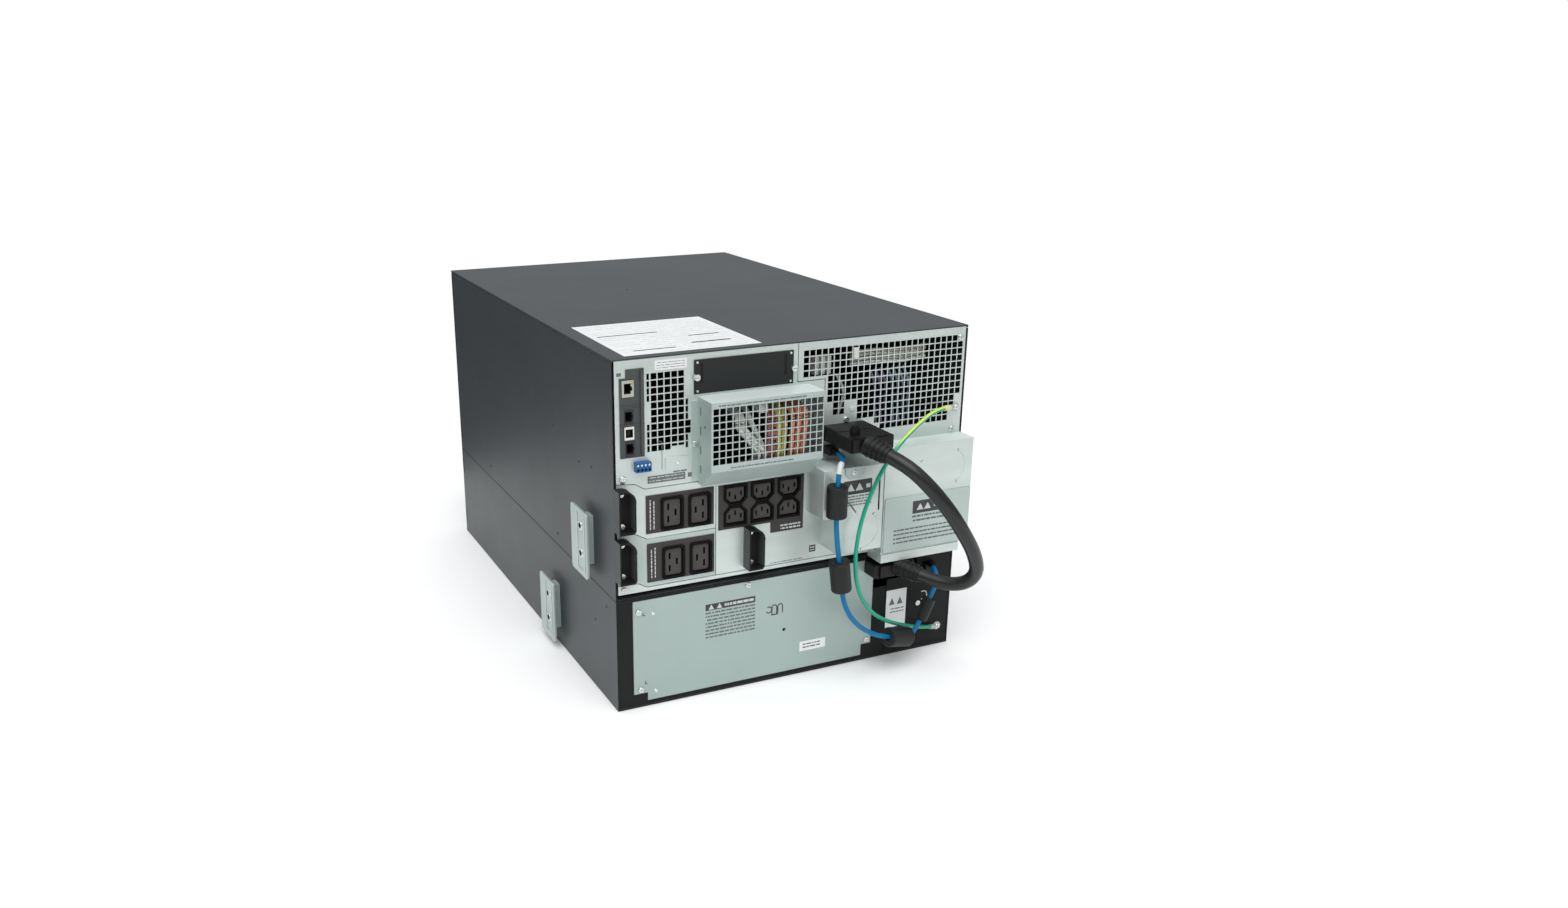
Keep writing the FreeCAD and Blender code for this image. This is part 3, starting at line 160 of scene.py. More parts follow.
FINISHES = {
    "shell_black": finish("shell_black", (0.042, 0.050, 0.054), 0.44, bump=0.00012, specular=0.42,
                          bump_scale=1400, mottle=0.08, mottle_scale=5, rough_spread=0.05),
    "zinc": finish("zinc", (0.60, 0.665, 0.64), 0.42, metallic=0.55, mottle=0.07,
                   mottle_scale=14, bump=0.00004, bump_scale=500, stretch=(1, 1, 3)),
    "zinc_dull": finish("zinc_dull", (0.47, 0.55, 0.525), 0.46, metallic=0.5, mottle=0.06,
                        mottle_scale=10, bump=0.00004, bump_scale=500, stretch=(3, 1, 1)),
    # Lighter copy of the zinc: painted light on top faces that face the light from above.
    "zinc_painted_top_light": finish("zinc_painted_top_light", (0.66, 0.735, 0.715), 0.42, metallic=0.15, mottle=0.05,
                          mottle_scale=12, bump=0.00004, bump_scale=500),
    # Near-black hole walls: bare cut steel, darkened as painted shade inside the holes.
    "cut_edge_and_hole_shade": finish("cut_edge_and_hole_shade", (0.09, 0.10, 0.10), 0.60, metallic=0.3, mottle_scale=200),
    "port_cream": finish("port_cream", (0.42, 0.42, 0.36), 0.45, bump=0.00003,
                         bump_scale=2500),
    # Darker copy of the zinc for the pack's rear plate: painted shade for the dimmer light on the low plate.
    "zinc_painted_shade": finish("zinc_painted_shade", (0.37, 0.455, 0.43), 0.44, metallic=0.4, mottle=0.09,
                       mottle_scale=5, bump=0.00004, bump_scale=500),
    "dark_plate": finish("dark_plate", (0.019, 0.021, 0.021), 0.55, bump=0.00006,
                         bump_scale=1800, specular=0.25),
    # Near-black plate: own colour of the socket plates and cord brackets, and painted shade on the chassis's
    # rear-facing faces.
    "socket_plate_and_gap_shade": finish("socket_plate_and_gap_shade", (0.010, 0.011, 0.011), 0.60, bump=0.00006,
                           bump_scale=1800, specular=0.2),
    # Dark grey: own colour of the comms strip, and painted light on the cord brackets' +X side walls.
    "strip_grey_and_painted_side_light": finish("strip_grey_and_painted_side_light", (0.062, 0.070, 0.070), 0.50, bump=0.00006,
                         bump_scale=1800, specular=0.3),
    "outlet_plate": finish("outlet_plate", (0.044, 0.041, 0.039), 0.55, bump=0.00006,
                           bump_scale=1800, specular=0.3),
    "outlet_black": finish("outlet_black", (0.003, 0.003, 0.003), 0.60, bump=0.00005,
                           bump_scale=2500, specular=0.12),
    "outlet_core": finish("outlet_core", (0.062, 0.056, 0.053), 0.55, bump=0.00005,
                          bump_scale=2500, specular=0.3),
    # Near black: painted shade for hollows, openings, recesses and gaps.
    "painted_hollow_shade": finish("painted_hollow_shade", (0.003, 0.003, 0.003), 0.8),
    "port_metal": finish("port_metal", (0.70, 0.70, 0.68), 0.28, metallic=0.9,
                         bump=0.00002, bump_scale=1500),
    "port_black": finish("port_black", (0.020, 0.021, 0.022), 0.45, bump=0.00004,
                         bump_scale=2500),
    "port_white": finish("port_white", (0.70, 0.70, 0.64), 0.45, bump=0.00003,
                         bump_scale=2500),
    "terminal_blue": finish("terminal_blue", (0.006, 0.085, 0.28), 0.42, bump=0.00004,
                            bump_scale=2500),
    "screw_steel": finish("screw_steel", (0.68, 0.70, 0.69), 0.24, metallic=0.95,
                          mottle_scale=60, bump=0.00002, bump_scale=3000),
    "brass": finish("brass", (0.78, 0.56, 0.22), 0.28, metallic=1.0, mottle_scale=80),
    "wire_white": finish("wire_white", (0.62, 0.64, 0.60), 0.42, mottle_scale=60),
    "wire_brown": finish("wire_brown", (0.27, 0.09, 0.08), 0.42, mottle_scale=60),
    "wire_yellow": finish("wire_yellow", (0.62, 0.53, 0.16), 0.42, mottle_scale=60),
    "wire_orange": finish("wire_orange", (0.68, 0.27, 0.15), 0.42, mottle_scale=60),
    "lug_yellow": finish("lug_yellow", (0.72, 0.68, 0.30), 0.40, mottle_scale=60),
    "wire_blue": finish("wire_blue", (0.22, 0.30, 0.40), 0.42, mottle_scale=60),
    "wire_violet": finish("wire_violet", (0.21, 0.18, 0.31), 0.42, mottle_scale=60),
    "cable_black": finish("cable_black", (0.011, 0.012, 0.012), 0.34, bump=0.00010, specular=0.4,
                          bump_scale=700, rough_spread=0.06, mottle_scale=30),
    "cable_blue": finish("cable_blue", (0.001, 0.150, 0.34), 0.45, specular=0.25, bump=0.00004,
                         bump_scale=1200, mottle_scale=40),
    "ferrite": finish("ferrite", (0.010, 0.012, 0.011), 0.50, bump=0.00012, specular=0.3,
                      bump_scale=1600, mottle_scale=60),
    "plug_black": finish("plug_black", (0.006, 0.006, 0.006), 0.45, bump=0.00008, specular=0.28,
                         bump_scale=1600, mottle_scale=40),
    "bezel_black": finish("bezel_black", (0.022, 0.024, 0.027), 0.48, bump=0.00014,
                          bump_scale=1500),
    "pod_black": finish("pod_black", (0.010, 0.011, 0.013), 0.18, coat=0.3,
                        mottle_scale=30, rough_spread=0.04),
    "key_grey": finish("key_grey", (0.42, 0.43, 0.45), 0.35, bump=0.00003,
                       bump_scale=2500),
    "fan_black": finish("fan_black", (0.020, 0.020, 0.021), 0.45, bump=0.00005,
                        bump_scale=2000),
    "board_green": finish("board_green", (0.020, 0.16, 0.07), 0.35, mottle=0.25,
                          mottle_scale=120),
    "battery_grey": finish("battery_grey", (0.10, 0.105, 0.11), 0.55, bump=0.0001,
                           bump_scale=600),
    "label_white": finish("label_white", (0.80, 0.81, 0.81), 0.30, mottle=0.02,
                          specular=0.4),
    "print_grey": finish("print_grey", (0.12, 0.14, 0.14), 0.45, mottle=0.25,
                         mottle_scale=700),
    "print_dark": finish("print_dark", (0.035, 0.037, 0.038), 0.45, mottle=0.3,
                         mottle_scale=700),
    "print_light": finish("print_light", (0.55, 0.57, 0.56), 0.45, mottle=0.3,
                          mottle_scale=700),
    "glow_green": finish("glow_green", (0.10, 0.60, 0.16), 0.3, emission=(0.1, 0.6, 0.16)),
    "glow_amber": finish("glow_amber", (0.42, 0.34, 0.08), 0.3),
    "lcd": finish("lcd", (0.13, 0.17, 0.15), 0.12, mottle=0.04),
}


def striped_wire(name, base, stripe, direction, fade_z):
    """Two-colour sheath: the stripe runs on one side, and turns away below a height."""
    made = finish(name, base, 0.36, mottle_scale=60)
    nodes, links = made.node_tree.nodes, made.node_tree.links
    shader = nodes["Principled BSDF"]
    normal = nodes.new("ShaderNodeTexCoord")
    facing = nodes.new("ShaderNodeVectorMath")
    facing.operation = "DOT_PRODUCT"
    facing.inputs[1].default_value = direction
    links.new(normal.outputs["Normal"], facing.inputs[0])
    band = nodes.new("ShaderNodeMapRange")
    band.inputs["From Min"].default_value = 0.35
    band.inputs["From Max"].default_value = 0.45
    links.new(facing.outputs["Value"], band.inputs["Value"])
    mix = nodes.new("ShaderNodeMix")
    mix.data_type = "RGBA"
    mix.inputs["B"].default_value = (*stripe, 1)
    axes = nodes.new("ShaderNodeSeparateXYZ")
    links.new(normal.outputs["Object"], axes.inputs["Vector"])
    shown = nodes.new("ShaderNodeMapRange")
    shown.inputs["From Min"].default_value = fade_z[0] * MM
    shown.inputs["From Max"].default_value = fade_z[1] * MM
    links.new(axes.outputs["Z"], shown.inputs["Value"])
    both = nodes.new("ShaderNodeMath")
    both.operation = "MULTIPLY"
    links.new(band.outputs["Result"], both.inputs[0])
    links.new(shown.outputs["Result"], both.inputs[1])
    links.new(both.outputs["Value"], mix.inputs["Factor"])
    links.new(nodes["Color Ramp"].outputs["Color"], mix.inputs["A"])
    links.new(mix.outputs["Result"], shader.inputs["Base Color"])
    return made


FINISHES["wire_green"] = striped_wire("wire_green", (0.003, 0.33, 0.20), (0.55, 0.74, 0.10),
                                      (-0.45, -0.1, 0.88), (205, 240))


# ---- mesh helpers ----------------------------------------------------------------------------
def box(mesh, x, y, z, turn=0.0):
    """A box from its (low, high) ranges in millimetres, turned about Y by degrees."""
    middle = Vector([(pair[0] + pair[1]) / 2 * MM for pair in (x, y, z)])
    size = [abs(pair[1] - pair[0]) * MM for pair in (x, y, z)]
    matrix = (Matrix.Translation(middle) @ Matrix.Rotation(math.radians(turn), 4, "Y")
              @ Matrix.Diagonal((*size, 1)))
    bmesh.ops.create_cube(mesh, size=1.0, matrix=matrix)


def tube(mesh, start, end, radius, top_radius=None, sides=32):
    """A cylinder or cone between two points in millimetres."""
    a, b = Vector(start) * MM, Vector(end) * MM
    turn = (b - a).to_track_quat("Z", "Y").to_matrix().to_4x4()
    bmesh.ops.create_cone(mesh, cap_ends=True, segments=sides, radius1=radius * MM,
                          radius2=(radius if top_radius is None else top_radius) * MM,
                          depth=(b - a).length, matrix=Matrix.Translation((a + b) / 2) @ turn)


def prism(mesh, corners, y, thickness):
    """A flat plate from (x, z) corners, standing on the plane y and growing along +Y."""
    back = [mesh.verts.new((cx * MM, y * MM, cz * MM)) for cx, cz in corners]
    face = mesh.faces.new(back)
    bmesh.ops.recalc_face_normals(mesh, faces=[face])
    grown = bmesh.ops.extrude_face_region(mesh, geom=[face])
    moved = [v for v in grown["geom"] if isinstance(v, bmesh.types.BMVert)]
    bmesh.ops.translate(mesh, verts=moved, vec=(0, thickness * MM, 0))


def arc_strip(mesh, centre, radius, width, start, end, y, thickness, steps=40):
    """A raised curved line in the XZ plane, between two angles in degrees."""
    outer = radius + width / 2
    inner = radius - width / 2
    angles = [math.radians(start + (end - start) * step / steps) for step in range(steps + 1)]
    ring = [(centre[0] + outer * math.cos(a), centre[1] + outer * math.sin(a)) for a in angles]
    ring += [(centre[0] + inner * math.cos(a), centre[1] + inner * math.sin(a))
             for a in reversed(angles)]
    prism(mesh, ring, y, thickness)


def sweep(mesh, points, radius, sides=14, steps=8):
    """A smooth round wire through points in millimetres."""
    spots = [Vector(point) * MM for point in points]
    path = []
    for index in range(len(spots) - 1):
        before, after = spots[max(index - 1, 0)], spots[min(index + 2, len(spots) - 1)]
        here, there = spots[index], spots[index + 1]
        path += interpolate_bezier(here, here + (there - before) / 6,
                                   there - (after - here) / 6, there, steps + 1)[:-1]
    path.append(spots[-1])
    rings = []
    for index, spot in enumerate(path):
        along = path[min(index + 1, len(path) - 1)] - path[max(index - 1, 0)]
        turn = along.to_track_quat("Z", "X")
        rings.append([mesh.verts.new(spot + turn @ Vector((math.cos(a), math.sin(a), 0)) * radius * MM)
                      for a in (2 * math.pi * side / sides for side in range(sides))])
    for low, high in zip(rings, rings[1:]):
        for side in range(sides):
            after = (side + 1) % sides
            mesh.faces.new((low[side], low[after], high[after], high[side]))
    mesh.faces.new(rings[0][::-1])
    mesh.faces.new(rings[-1])


def piece(name, finish_name, mesh, slot=None, bevel=0.0, smooth=False, body=CABINET):
    """Turn a bmesh into a finished piece that rides on a CAD body."""
    bmesh.ops.recalc_face_normals(mesh, faces=mesh.faces)
    data = bpy.data.meshes.new(name)
    mesh.to_mesh(data)
    mesh.free()
    made = bpy.data.objects.new(name, data)
    scene.collection.objects.link(made)
    data.materials.append(FINISHES[finish_name])
    if smooth or bevel:
        data.shade_smooth()
        data.set_sharp_from_angle(angle=math.radians(35))
    if bevel:
        rounding = made.modifiers.new("edge", "BEVEL")
        rounding.width = bevel * MM
        rounding.segments = 2
        rounding.limit_method = "ANGLE"
        rounding.harden_normals = False
    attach(made, body)
    return made


def boxes(name, finish_name, places, **options):
    """One piece made of several boxes, each given by its x, y and z ranges."""
    mesh = bmesh.new()
    for ranges in places:
        box(mesh, *ranges)
    return piece(name, finish_name, mesh, **options)


def print_rows(name, finish_name, x, z_rows, y, height=1.2, thick=0.12, **options):
    """Lines of generic print: a row of short dashes for each z, between two x values."""
    rng = random.Random(name)
    mesh = bmesh.new()
    for z in z_rows:
        here = x[0]
        while here < x[1] - 1:
            dash = min(rng.uniform(2.0, 7.5), x[1] - here)
            box(mesh, (here, here + dash), (y, y + thick), (z - height / 2, z + height / 2))
            here += dash + rng.uniform(0.7, 1.3)
    return piece(name, finish_name, mesh, **options)


# ---- cords -------------------------------------------------------------------------------------
def cord_curve(name, route, diameter, finish_name, nodes):
    """A cord along its route's control points, standing for its CAD tube."""
    curve = bpy.data.curves.new(name, "CURVE")
    curve.dimensions = "3D"
    spline = curve.splines.new("NURBS")
    spline.points.add(len(route) - 1)
    for point, spot in zip(spline.points, route):
        point.co = (*place(*spot), 1)
    spline.order_u = 3
    spline.use_endpoint_u = True
    curve.resolution_u = 20
    curve.bevel_depth = diameter / 2
    curve.bevel_resolution = 9
    curve.use_fill_caps = True
    made = bpy.data.objects.new(name, curve)
    scene.collection.objects.link(made)
    made.data.materials.append(FINISHES[finish_name])
    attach(made, CABINET)
    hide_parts(*nodes)
    return made


def cord_line(cord):
    """Points in millimetres along a cord's centre line, read from its spline."""
    bare = cord.copy()
    bare.data = cord.data.copy()
    bare.data.bevel_depth = 0.0
    line = bpy.data.meshes.new_from_object(bare)
    points = [vertex.co / MM for vertex in line.vertices]
    bpy.data.objects.remove(bare)
    bpy.data.meshes.remove(line)
    return points


def cord_sleeve(name, finish_name, spots, radius, **options):
    """Short sleeve on a cord, swept through every fourth of the given spots."""
    mesh = bmesh.new()
    sweep(mesh, spots[::4], radius, steps=2)
    piece(name, finish_name, mesh, smooth=True, **options)


battery_cord = cord_curve("battery_cord", BATTERY_ROUTE, 0.016, "cable_black",
                          ["battery_cable"])
ground_cord = cord_curve("ground_cord", GROUND_ROUTE, 0.0046, "wire_green",
                         ["ground_wire"])
signal_cord = cord_curve("signal_cord", SIGNAL_ROUTE, 0.0056, "cable_blue",
                         ["signal_cable"])
cord_sleeve("signal_sleeve", "wire_white", [spot for spot in cord_line(signal_cord) if 255 < spot.z < 267],
            3.3, slot="wire_white")
cord_sleeve("ground_sleeve", "lug_yellow",
            [spot for spot in cord_line(ground_cord) if spot.x < -179 and spot.z > 290], 3.0)

# ---- finishes of the CAD nodes -------------------------------------------------------------------
NODE_FINISHES = {
    "shell_black": ["ups_chassis", "ups_top_cover", "pack_chassis"],
    "zinc": ["rear_panel", "rear_vent_panel", "outlet_panel_upper", "outlet_panel_right",
             "conduit_box_large", "knockouts", "conduit_box_small"],
    "zinc_dull": ["wiring_cover", "conduit_cover_plate", "outlet_panel_lower",
                  "rail_brackets", "ground_lugs"],
    # Pack rear plate in the darker zinc copy: painted shade.
    "zinc_painted_shade": ["pack_rear_plate"],
    "dark_plate": ["slot_cover"],
    "socket_plate_and_gap_shade": ["pack_connector_panel", "cord_bracket_1", "cord_bracket_2",
                     "cord_bracket_3"],
    "strip_grey_and_painted_side_light": ["comms_faceplate"],
    "outlet_plate": ["c19_plates", "c13_plate"],
    "outlet_black": ["c19_sockets_upper", "c19_sockets_lower", "c13_sockets_upper",
                     "c13_sockets_lower"],
    "port_cream": ["network_jack"],
    "port_white": ["usb_port"],
        "port_black": ["io_jacks", "output_terminals"],
    "terminal_blue": ["terminal_block"],
    "screw_steel": ["rear_screws", "thumbscrews"],
    "plug_black": ["battery_receptacle", "battery_plug", "pack_receptacle", "pack_plug",
                   "signal_plugs"],
    "ferrite": ["ferrite_cores"],
    "wire_white": ["output_wires_white"],
    "wire_brown": ["output_wire_brown"],
    "wire_yellow": ["output_wire_yellow"],
    "wire_orange": ["output_wire_orange"],
    "bezel_black": ["ups_bezel", "pack_bezel"],
    "pod_black": ["display_pod"],
    "key_grey": ["power_button", "key_up", "key_down"],
    "fan_black": ["fan_frames", "fan_rotor_1", "fan_rotor_2"],
    "board_green": ["power_board"],
    "battery_grey": ["ups_batteries", "pack_batteries"],
    "cable_black": ["battery_cable"],
    "wire_green": ["ground_wire"],
    "cable_blue": ["signal_cable"],
}
for finish_name, names in NODE_FINISHES.items():
    for name in names:
        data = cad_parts[name].data
        data.materials.clear()
        data.materials.append(FINISHES[finish_name])


def refinish_faces(names, finish_name, chosen):
    """Give the faces of CAD nodes whose centre and normal pass a test another finish."""
    for name in names:
        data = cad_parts[name].data
        data.materials.append(FINISHES[finish_name])
        for face in data.polygons:
            if chosen(face.center / MM, face.normal):
                face.material_index = len(data.materials) - 1


def flat_at(rise):
    """A test for faces that lie flat at one rise."""
    return lambda centre, normal: abs(centre.y - REAR - rise) < 0.05 and normal.y > 0.9


refinish_faces(NODE_FINISHES["outlet_black"], "outlet_core", flat_at(0.4))
# Painted shade: the openings of the cord brackets and the insides of the ports go near black.
refinish_faces(["cord_bracket_1", "cord_bracket_2", "cord_bracket_3"], "painted_hollow_shade", flat_at(1.6))
refinish_faces(["network_jack", "usb_port", "io_jacks"], "painted_hollow_shade",
               lambda centre, normal: REAR - 13 < centre.y < REAR + 1.1)
# Painted light: the +X side walls of the black cord brackets get the lighter grey.
refinish_faces(["cord_bracket_1", "cord_bracket_2", "cord_bracket_3"], "strip_grey_and_painted_side_light",
               lambda centre, normal: normal.x > 0.9)
# Painted light: the upward faces of the cage and the boxes get the lighter zinc copy.
refinish_faces(["wiring_cover", "conduit_box_small", "conduit_box_large"], "zinc_painted_top_light",
               lambda centre, normal: normal.z > 0.9 and centre.z > 255)
# Walls of the vent holes and the mesh holes: bare cut steel, darkened as painted shade inside the holes.
refinish_faces(["rear_panel", "rear_vent_panel"], "cut_edge_and_hole_shade",
               lambda centre, normal: abs(normal.y) < 0.1 and 285 < centre.z < 390
               and (127 < centre.x < 180 or -212 < centre.x < -3))
refinish_faces(["wiring_cover"], "cut_edge_and_hole_shade",
               lambda centre, normal: abs(normal.y) < 0.1 and 279 < centre.z < 341
               and centre.y > REAR + 32.2 and -11.5 < centre.x < 119)
# Painted shade: the rear-facing faces of both chassis, in the band between the units and round the rear
# panels, get the near-black plate.
refinish_faces(["ups_chassis"], "socket_plate_and_gap_shade", lambda centre, normal: normal.y > 0.9)
refinish_faces(["pack_chassis"], "socket_plate_and_gap_shade", lambda centre, normal: normal.y > 0.9)
# Painted shade: the walls of the pack's connector recess go near black.
refinish_faces(["pack_chassis"], "painted_hollow_shade",
               lambda centre, normal: (-SIDE + 2 < centre.x < -100 and centre.z > 88
                                       and REAR - 43 < centre.y < REAR))


# Soft edges on the folded sheet parts: node and bevel width in millimetres.
EDGE_BEVELS = {"conduit_box_large": 0.8, "conduit_box_small": 0.8, "conduit_cover_plate": 0.4,
               "slot_cover": 0.3, "c19_plates": 0.25, "c13_plate": 0.25, "ups_top_cover": 0.5,
               "rail_brackets": 0.5, "ups_chassis": 0.5, "pack_chassis": 0.5}
for name, width in EDGE_BEVELS.items():
    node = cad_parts[name]
    weld = node.modifiers.new("weld", "WELD")
    weld.merge_threshold = 0.001 * MM
    rounding = node.modifiers.new("edge", "BEVEL")
    rounding.width = width * MM
    rounding.segments = 2
    rounding.limit_method = "ANGLE"
    rounding.angle_limit = math.radians(40)


# ---- printed labels --------------------------------------------------------------------------------
def add_labels():
    """Plain stickers with generic print. No readable text."""
    y = REAR
    boxes("top_label", "label_white", [((41, 197.5), (144, 304.4), (TOP, TOP + 0.15))])
    mesh = bmesh.new()
    rng = random.Random("top_print")
    top = (TOP + 0.15, TOP + 0.22)
    for row in range(15):
        line_y = 298 - row * 10.0
        here = 192.0 if row % 3 else 150.0
        while here > 50:
            dash = rng.uniform(8, 26)
            box(mesh, (max(46, here - dash), here), (line_y - 1.3, line_y), top)
            here -= dash + rng.uniform(2, 9)
    piece("top_label_print", "print_light", mesh)
    boxes("top_label_bars", "print_dark", [((62, 108), (270, 274), top), ((132, 180), (284, 287), top),
                                           ((60, 96), (236, 239), top), ((120, 190), (205, 208), top)])

    boxes("rear_label", "label_white", [((132.9, 168.7), (y, y + 0.15), (378, 388))])
    print_rows("rear_label_print", "print_grey", (135, 167), (385.6, 382.8, 380.2), y + 0.15, 0.5)
    boxes("port_marks", "print_grey", [((205.5, 210.5), (y, y + 0.12), (375.4, 379)),
                                       ((203.5, 208.5), (y, y + 0.12), (260.5, 263.5)),
                                       ((158, 162.5), (y, y + 0.12), (260.6, 263.2))])
    boxes("outlet_heading", "print_grey", [((135, 178), (y, y + 0.15), (258, 266))])
    print_rows("outlet_heading_print", "print_light", (137, 176), (264, 260.3), y + 0.15, 0.9)
    boxes("outlet_heading_box", "print_grey", [((122, 132), (y, y + 0.12), (259.6, 264.4))])

    for index, (x, z) in enumerate([((168.8, 178.6), (205, 242)), ((168.0, 177.8), (150, 188))]):
        mesh = bmesh.new()
        rng = random.Random(index)
        for line in range(2):
            here = z[0] + 2
            line_x = x[0] + 2.8 + 4.2 * line
            while here < z[1] - 3:
                dash = min(rng.uniform(2, 5), z[1] - 2 - here)
                box(mesh, (line_x - 0.6, line_x + 0.6), (y + 1.0, y + 1.12), (here, here + dash))
                here += dash + 0.9
        piece("outlet_group_print_%d" % (index + 1), "print_light", mesh)
    print_rows("outlet_block_print", "print_light", (-5, 20), (188, 184.4), y + 1.0, 1.8)
    boxes("panel_icon", "print_dark", [((-26, -18), (y, y + 0.12), (150, 158))])
    boxes("panel_icon_print", "print_light", [((-24.6, -19.4), (y + 0.12, y + 0.2), (154.6, 156.2)),
                                              ((-24.6, -19.4), (y + 0.12, y + 0.2), (151.8, 153.0))])


def caution_sticker(name, x, z, y, header, rows, icon_x, triangle=4.2):
    """Dark header with two plain triangles, and grey lines of print below it."""
    boxes(name + "_header", "print_dark", [(x, (y, y + 0.12), header)])
    mesh = bmesh.new()
    middle = (header[0] + header[1]) / 2
    for centre in icon_x:
        foot = middle - triangle * 0.8
        prism(mesh, [(centre - triangle, foot), (centre + triangle, foot), (centre, middle + triangle * 0.9)],
              y + 0.12, 0.08)
    piece(name + "_triangles", "print_light", mesh)
    print_rows(name + "_title", "print_light", (x[0] + 2, min(icon_x) - triangle - 2), (middle,),
               y + 0.12, triangle * 0.9)
    step = (z[1] - z[0]) / rows
    lines = [z[0] + step * (row + 0.5) for row in range(rows)]
    print_rows(name + "_print", "print_grey", x, lines, y, step * 0.45)


def add_cautions():
    box_small, box_large = REAR + 38.0, REAR + 27.2
    caution_sticker("small_box_caution", (-73, -37), (212, 225), box_small, (226, 242), 4,
                    (-46, -57), 5.0)
    caution_sticker("large_box_caution", (-180, -136), (176, 186), box_large, (187, 202), 2,
                    (-146, -156), 4.6)
    print_rows("large_box_rows", "print_grey", (-200, -112), (169.5, 164.5, 159.5, 154.5), box_large, 1.9)
    caution_sticker("pack_caution", (49.5, 111), (66.5, 100), REAR + 0.4, (101, 108.6), 8,
                    (94, 104), 3.4)


add_labels()
add_cautions()


# ---- rear details -------------------------------------------------------------------------------------
def add_jack_details():
    y = REAR
    mesh = bmesh.new()
    for low, high in ((353.6, 371.0), (325.4, 340.0), (290.4, 307.0)):
        middle = (low + high) / 2
        for pin in range(8):
            z = middle - 4.0 + pin * 1.14
            tube(mesh, (202.6, y - 11.5, z), (200.6, y - 5.5, z), 0.26, sides=8)
    piece("jack_contacts", "brass", mesh, smooth=True)
    boxes("jack_light", "glow_amber", [((193.0, 195.4), (y + 1.6, y + 2.0), (366.4, 370.2))], bevel=0.3)
    mesh = bmesh.new()
    for way in range(4):
        x = 176 + 4.25 * (way + 0.5)
        tube(mesh, (x, y + 5.0, 281), (x, y + 6.4, 281), 1.15, sides=20)
    piece("terminal_screws", "screw_steel", mesh, slot="screw_steel", smooth=True)
    boxes("usb_contacts", "brass", [((197.1, 197.5), (y - 9, y - 0.5), (z, z + 0.7))
                                    for z in (312.9, 314.3, 315.7, 317.1)])


def add_outlet_contacts():
    """Metal seen deep in the outlet slots."""
    mesh = bmesh.new()
    depth = (REAR - 12.8, REAR - 10)
    for x, z, sign in LARGE_OUTLETS:
        for dx, dz in ((4.2, 7.0), (4.2, -7.0), (-4.2, 0.0)):
            cx = x + sign * dx
            box(mesh, (cx - 0.9, cx + 0.9), depth, (z + dz - 3.3, z + dz + 3.3))
    for z, sign in STANDARD_OUTLET_ROWS:
        for x in STANDARD_OUTLET_COLUMNS:
            for dx, dz in ((7.0, 1.2), (-7.0, 1.2), (0.0, -2.6)):
                cz = z + sign * dz
                box(mesh, (x + dx - 0.8, x + dx + 0.8), depth, (cz - 2.4, cz + 2.4))
    piece("outlet_contacts", "port_metal", mesh)


def add_box_details():
    """Marks pressed into the conduit boxes and the seams round their knock-outs, with dark ticks of painted
    shade at the seam ends.
    """
    small, large = REAR + 38.0, REAR + 26.0
    mesh = bmesh.new()
    covered = [((-61, 183), 21.6, small, (-88, 128)), ((-185, 237), 19.6, large, (-112, 112)),
               ((-127.5, 237), 19.6, large, (-132, 140)), ((-127.5, 237), 19.6, large, (156, 208))]
    for centre, radius, rise, (start, end) in covered:
        arc_strip(mesh, centre, radius, 1.3, start, end, rise - 0.02, 0.07)
    piece("knockout_bridges", "zinc", mesh, slot="zinc")
    # Dark ticks at the ends of the knock-out seams: painted shade in the seams.
    mesh = bmesh.new()
    for centre, radius, rise, ends in (((-61, 183), 23.2, small, (132, 268)),
                                       ((-185, 237), 21.2, large, (116, 244)),
                                       ((-127.5, 237), 21.2, large, (148, 216))):
        for angle in ends:
            arc_strip(mesh, centre, radius, 3.4, angle - 1, angle + 1, rise - 0.02, 0.12, steps=2)
    piece("knockout_seam_shade", "print_dark", mesh)
    mesh = bmesh.new()
    prism(mesh, [(-38, 258), (-38, 250), (-43, 244.5), (-57, 244.5), (-62, 250), (-62, 258)],
          small - 0.2, 1.6)
    piece("box_tab", "zinc_dull", mesh, slot="zinc", bevel=0.5)


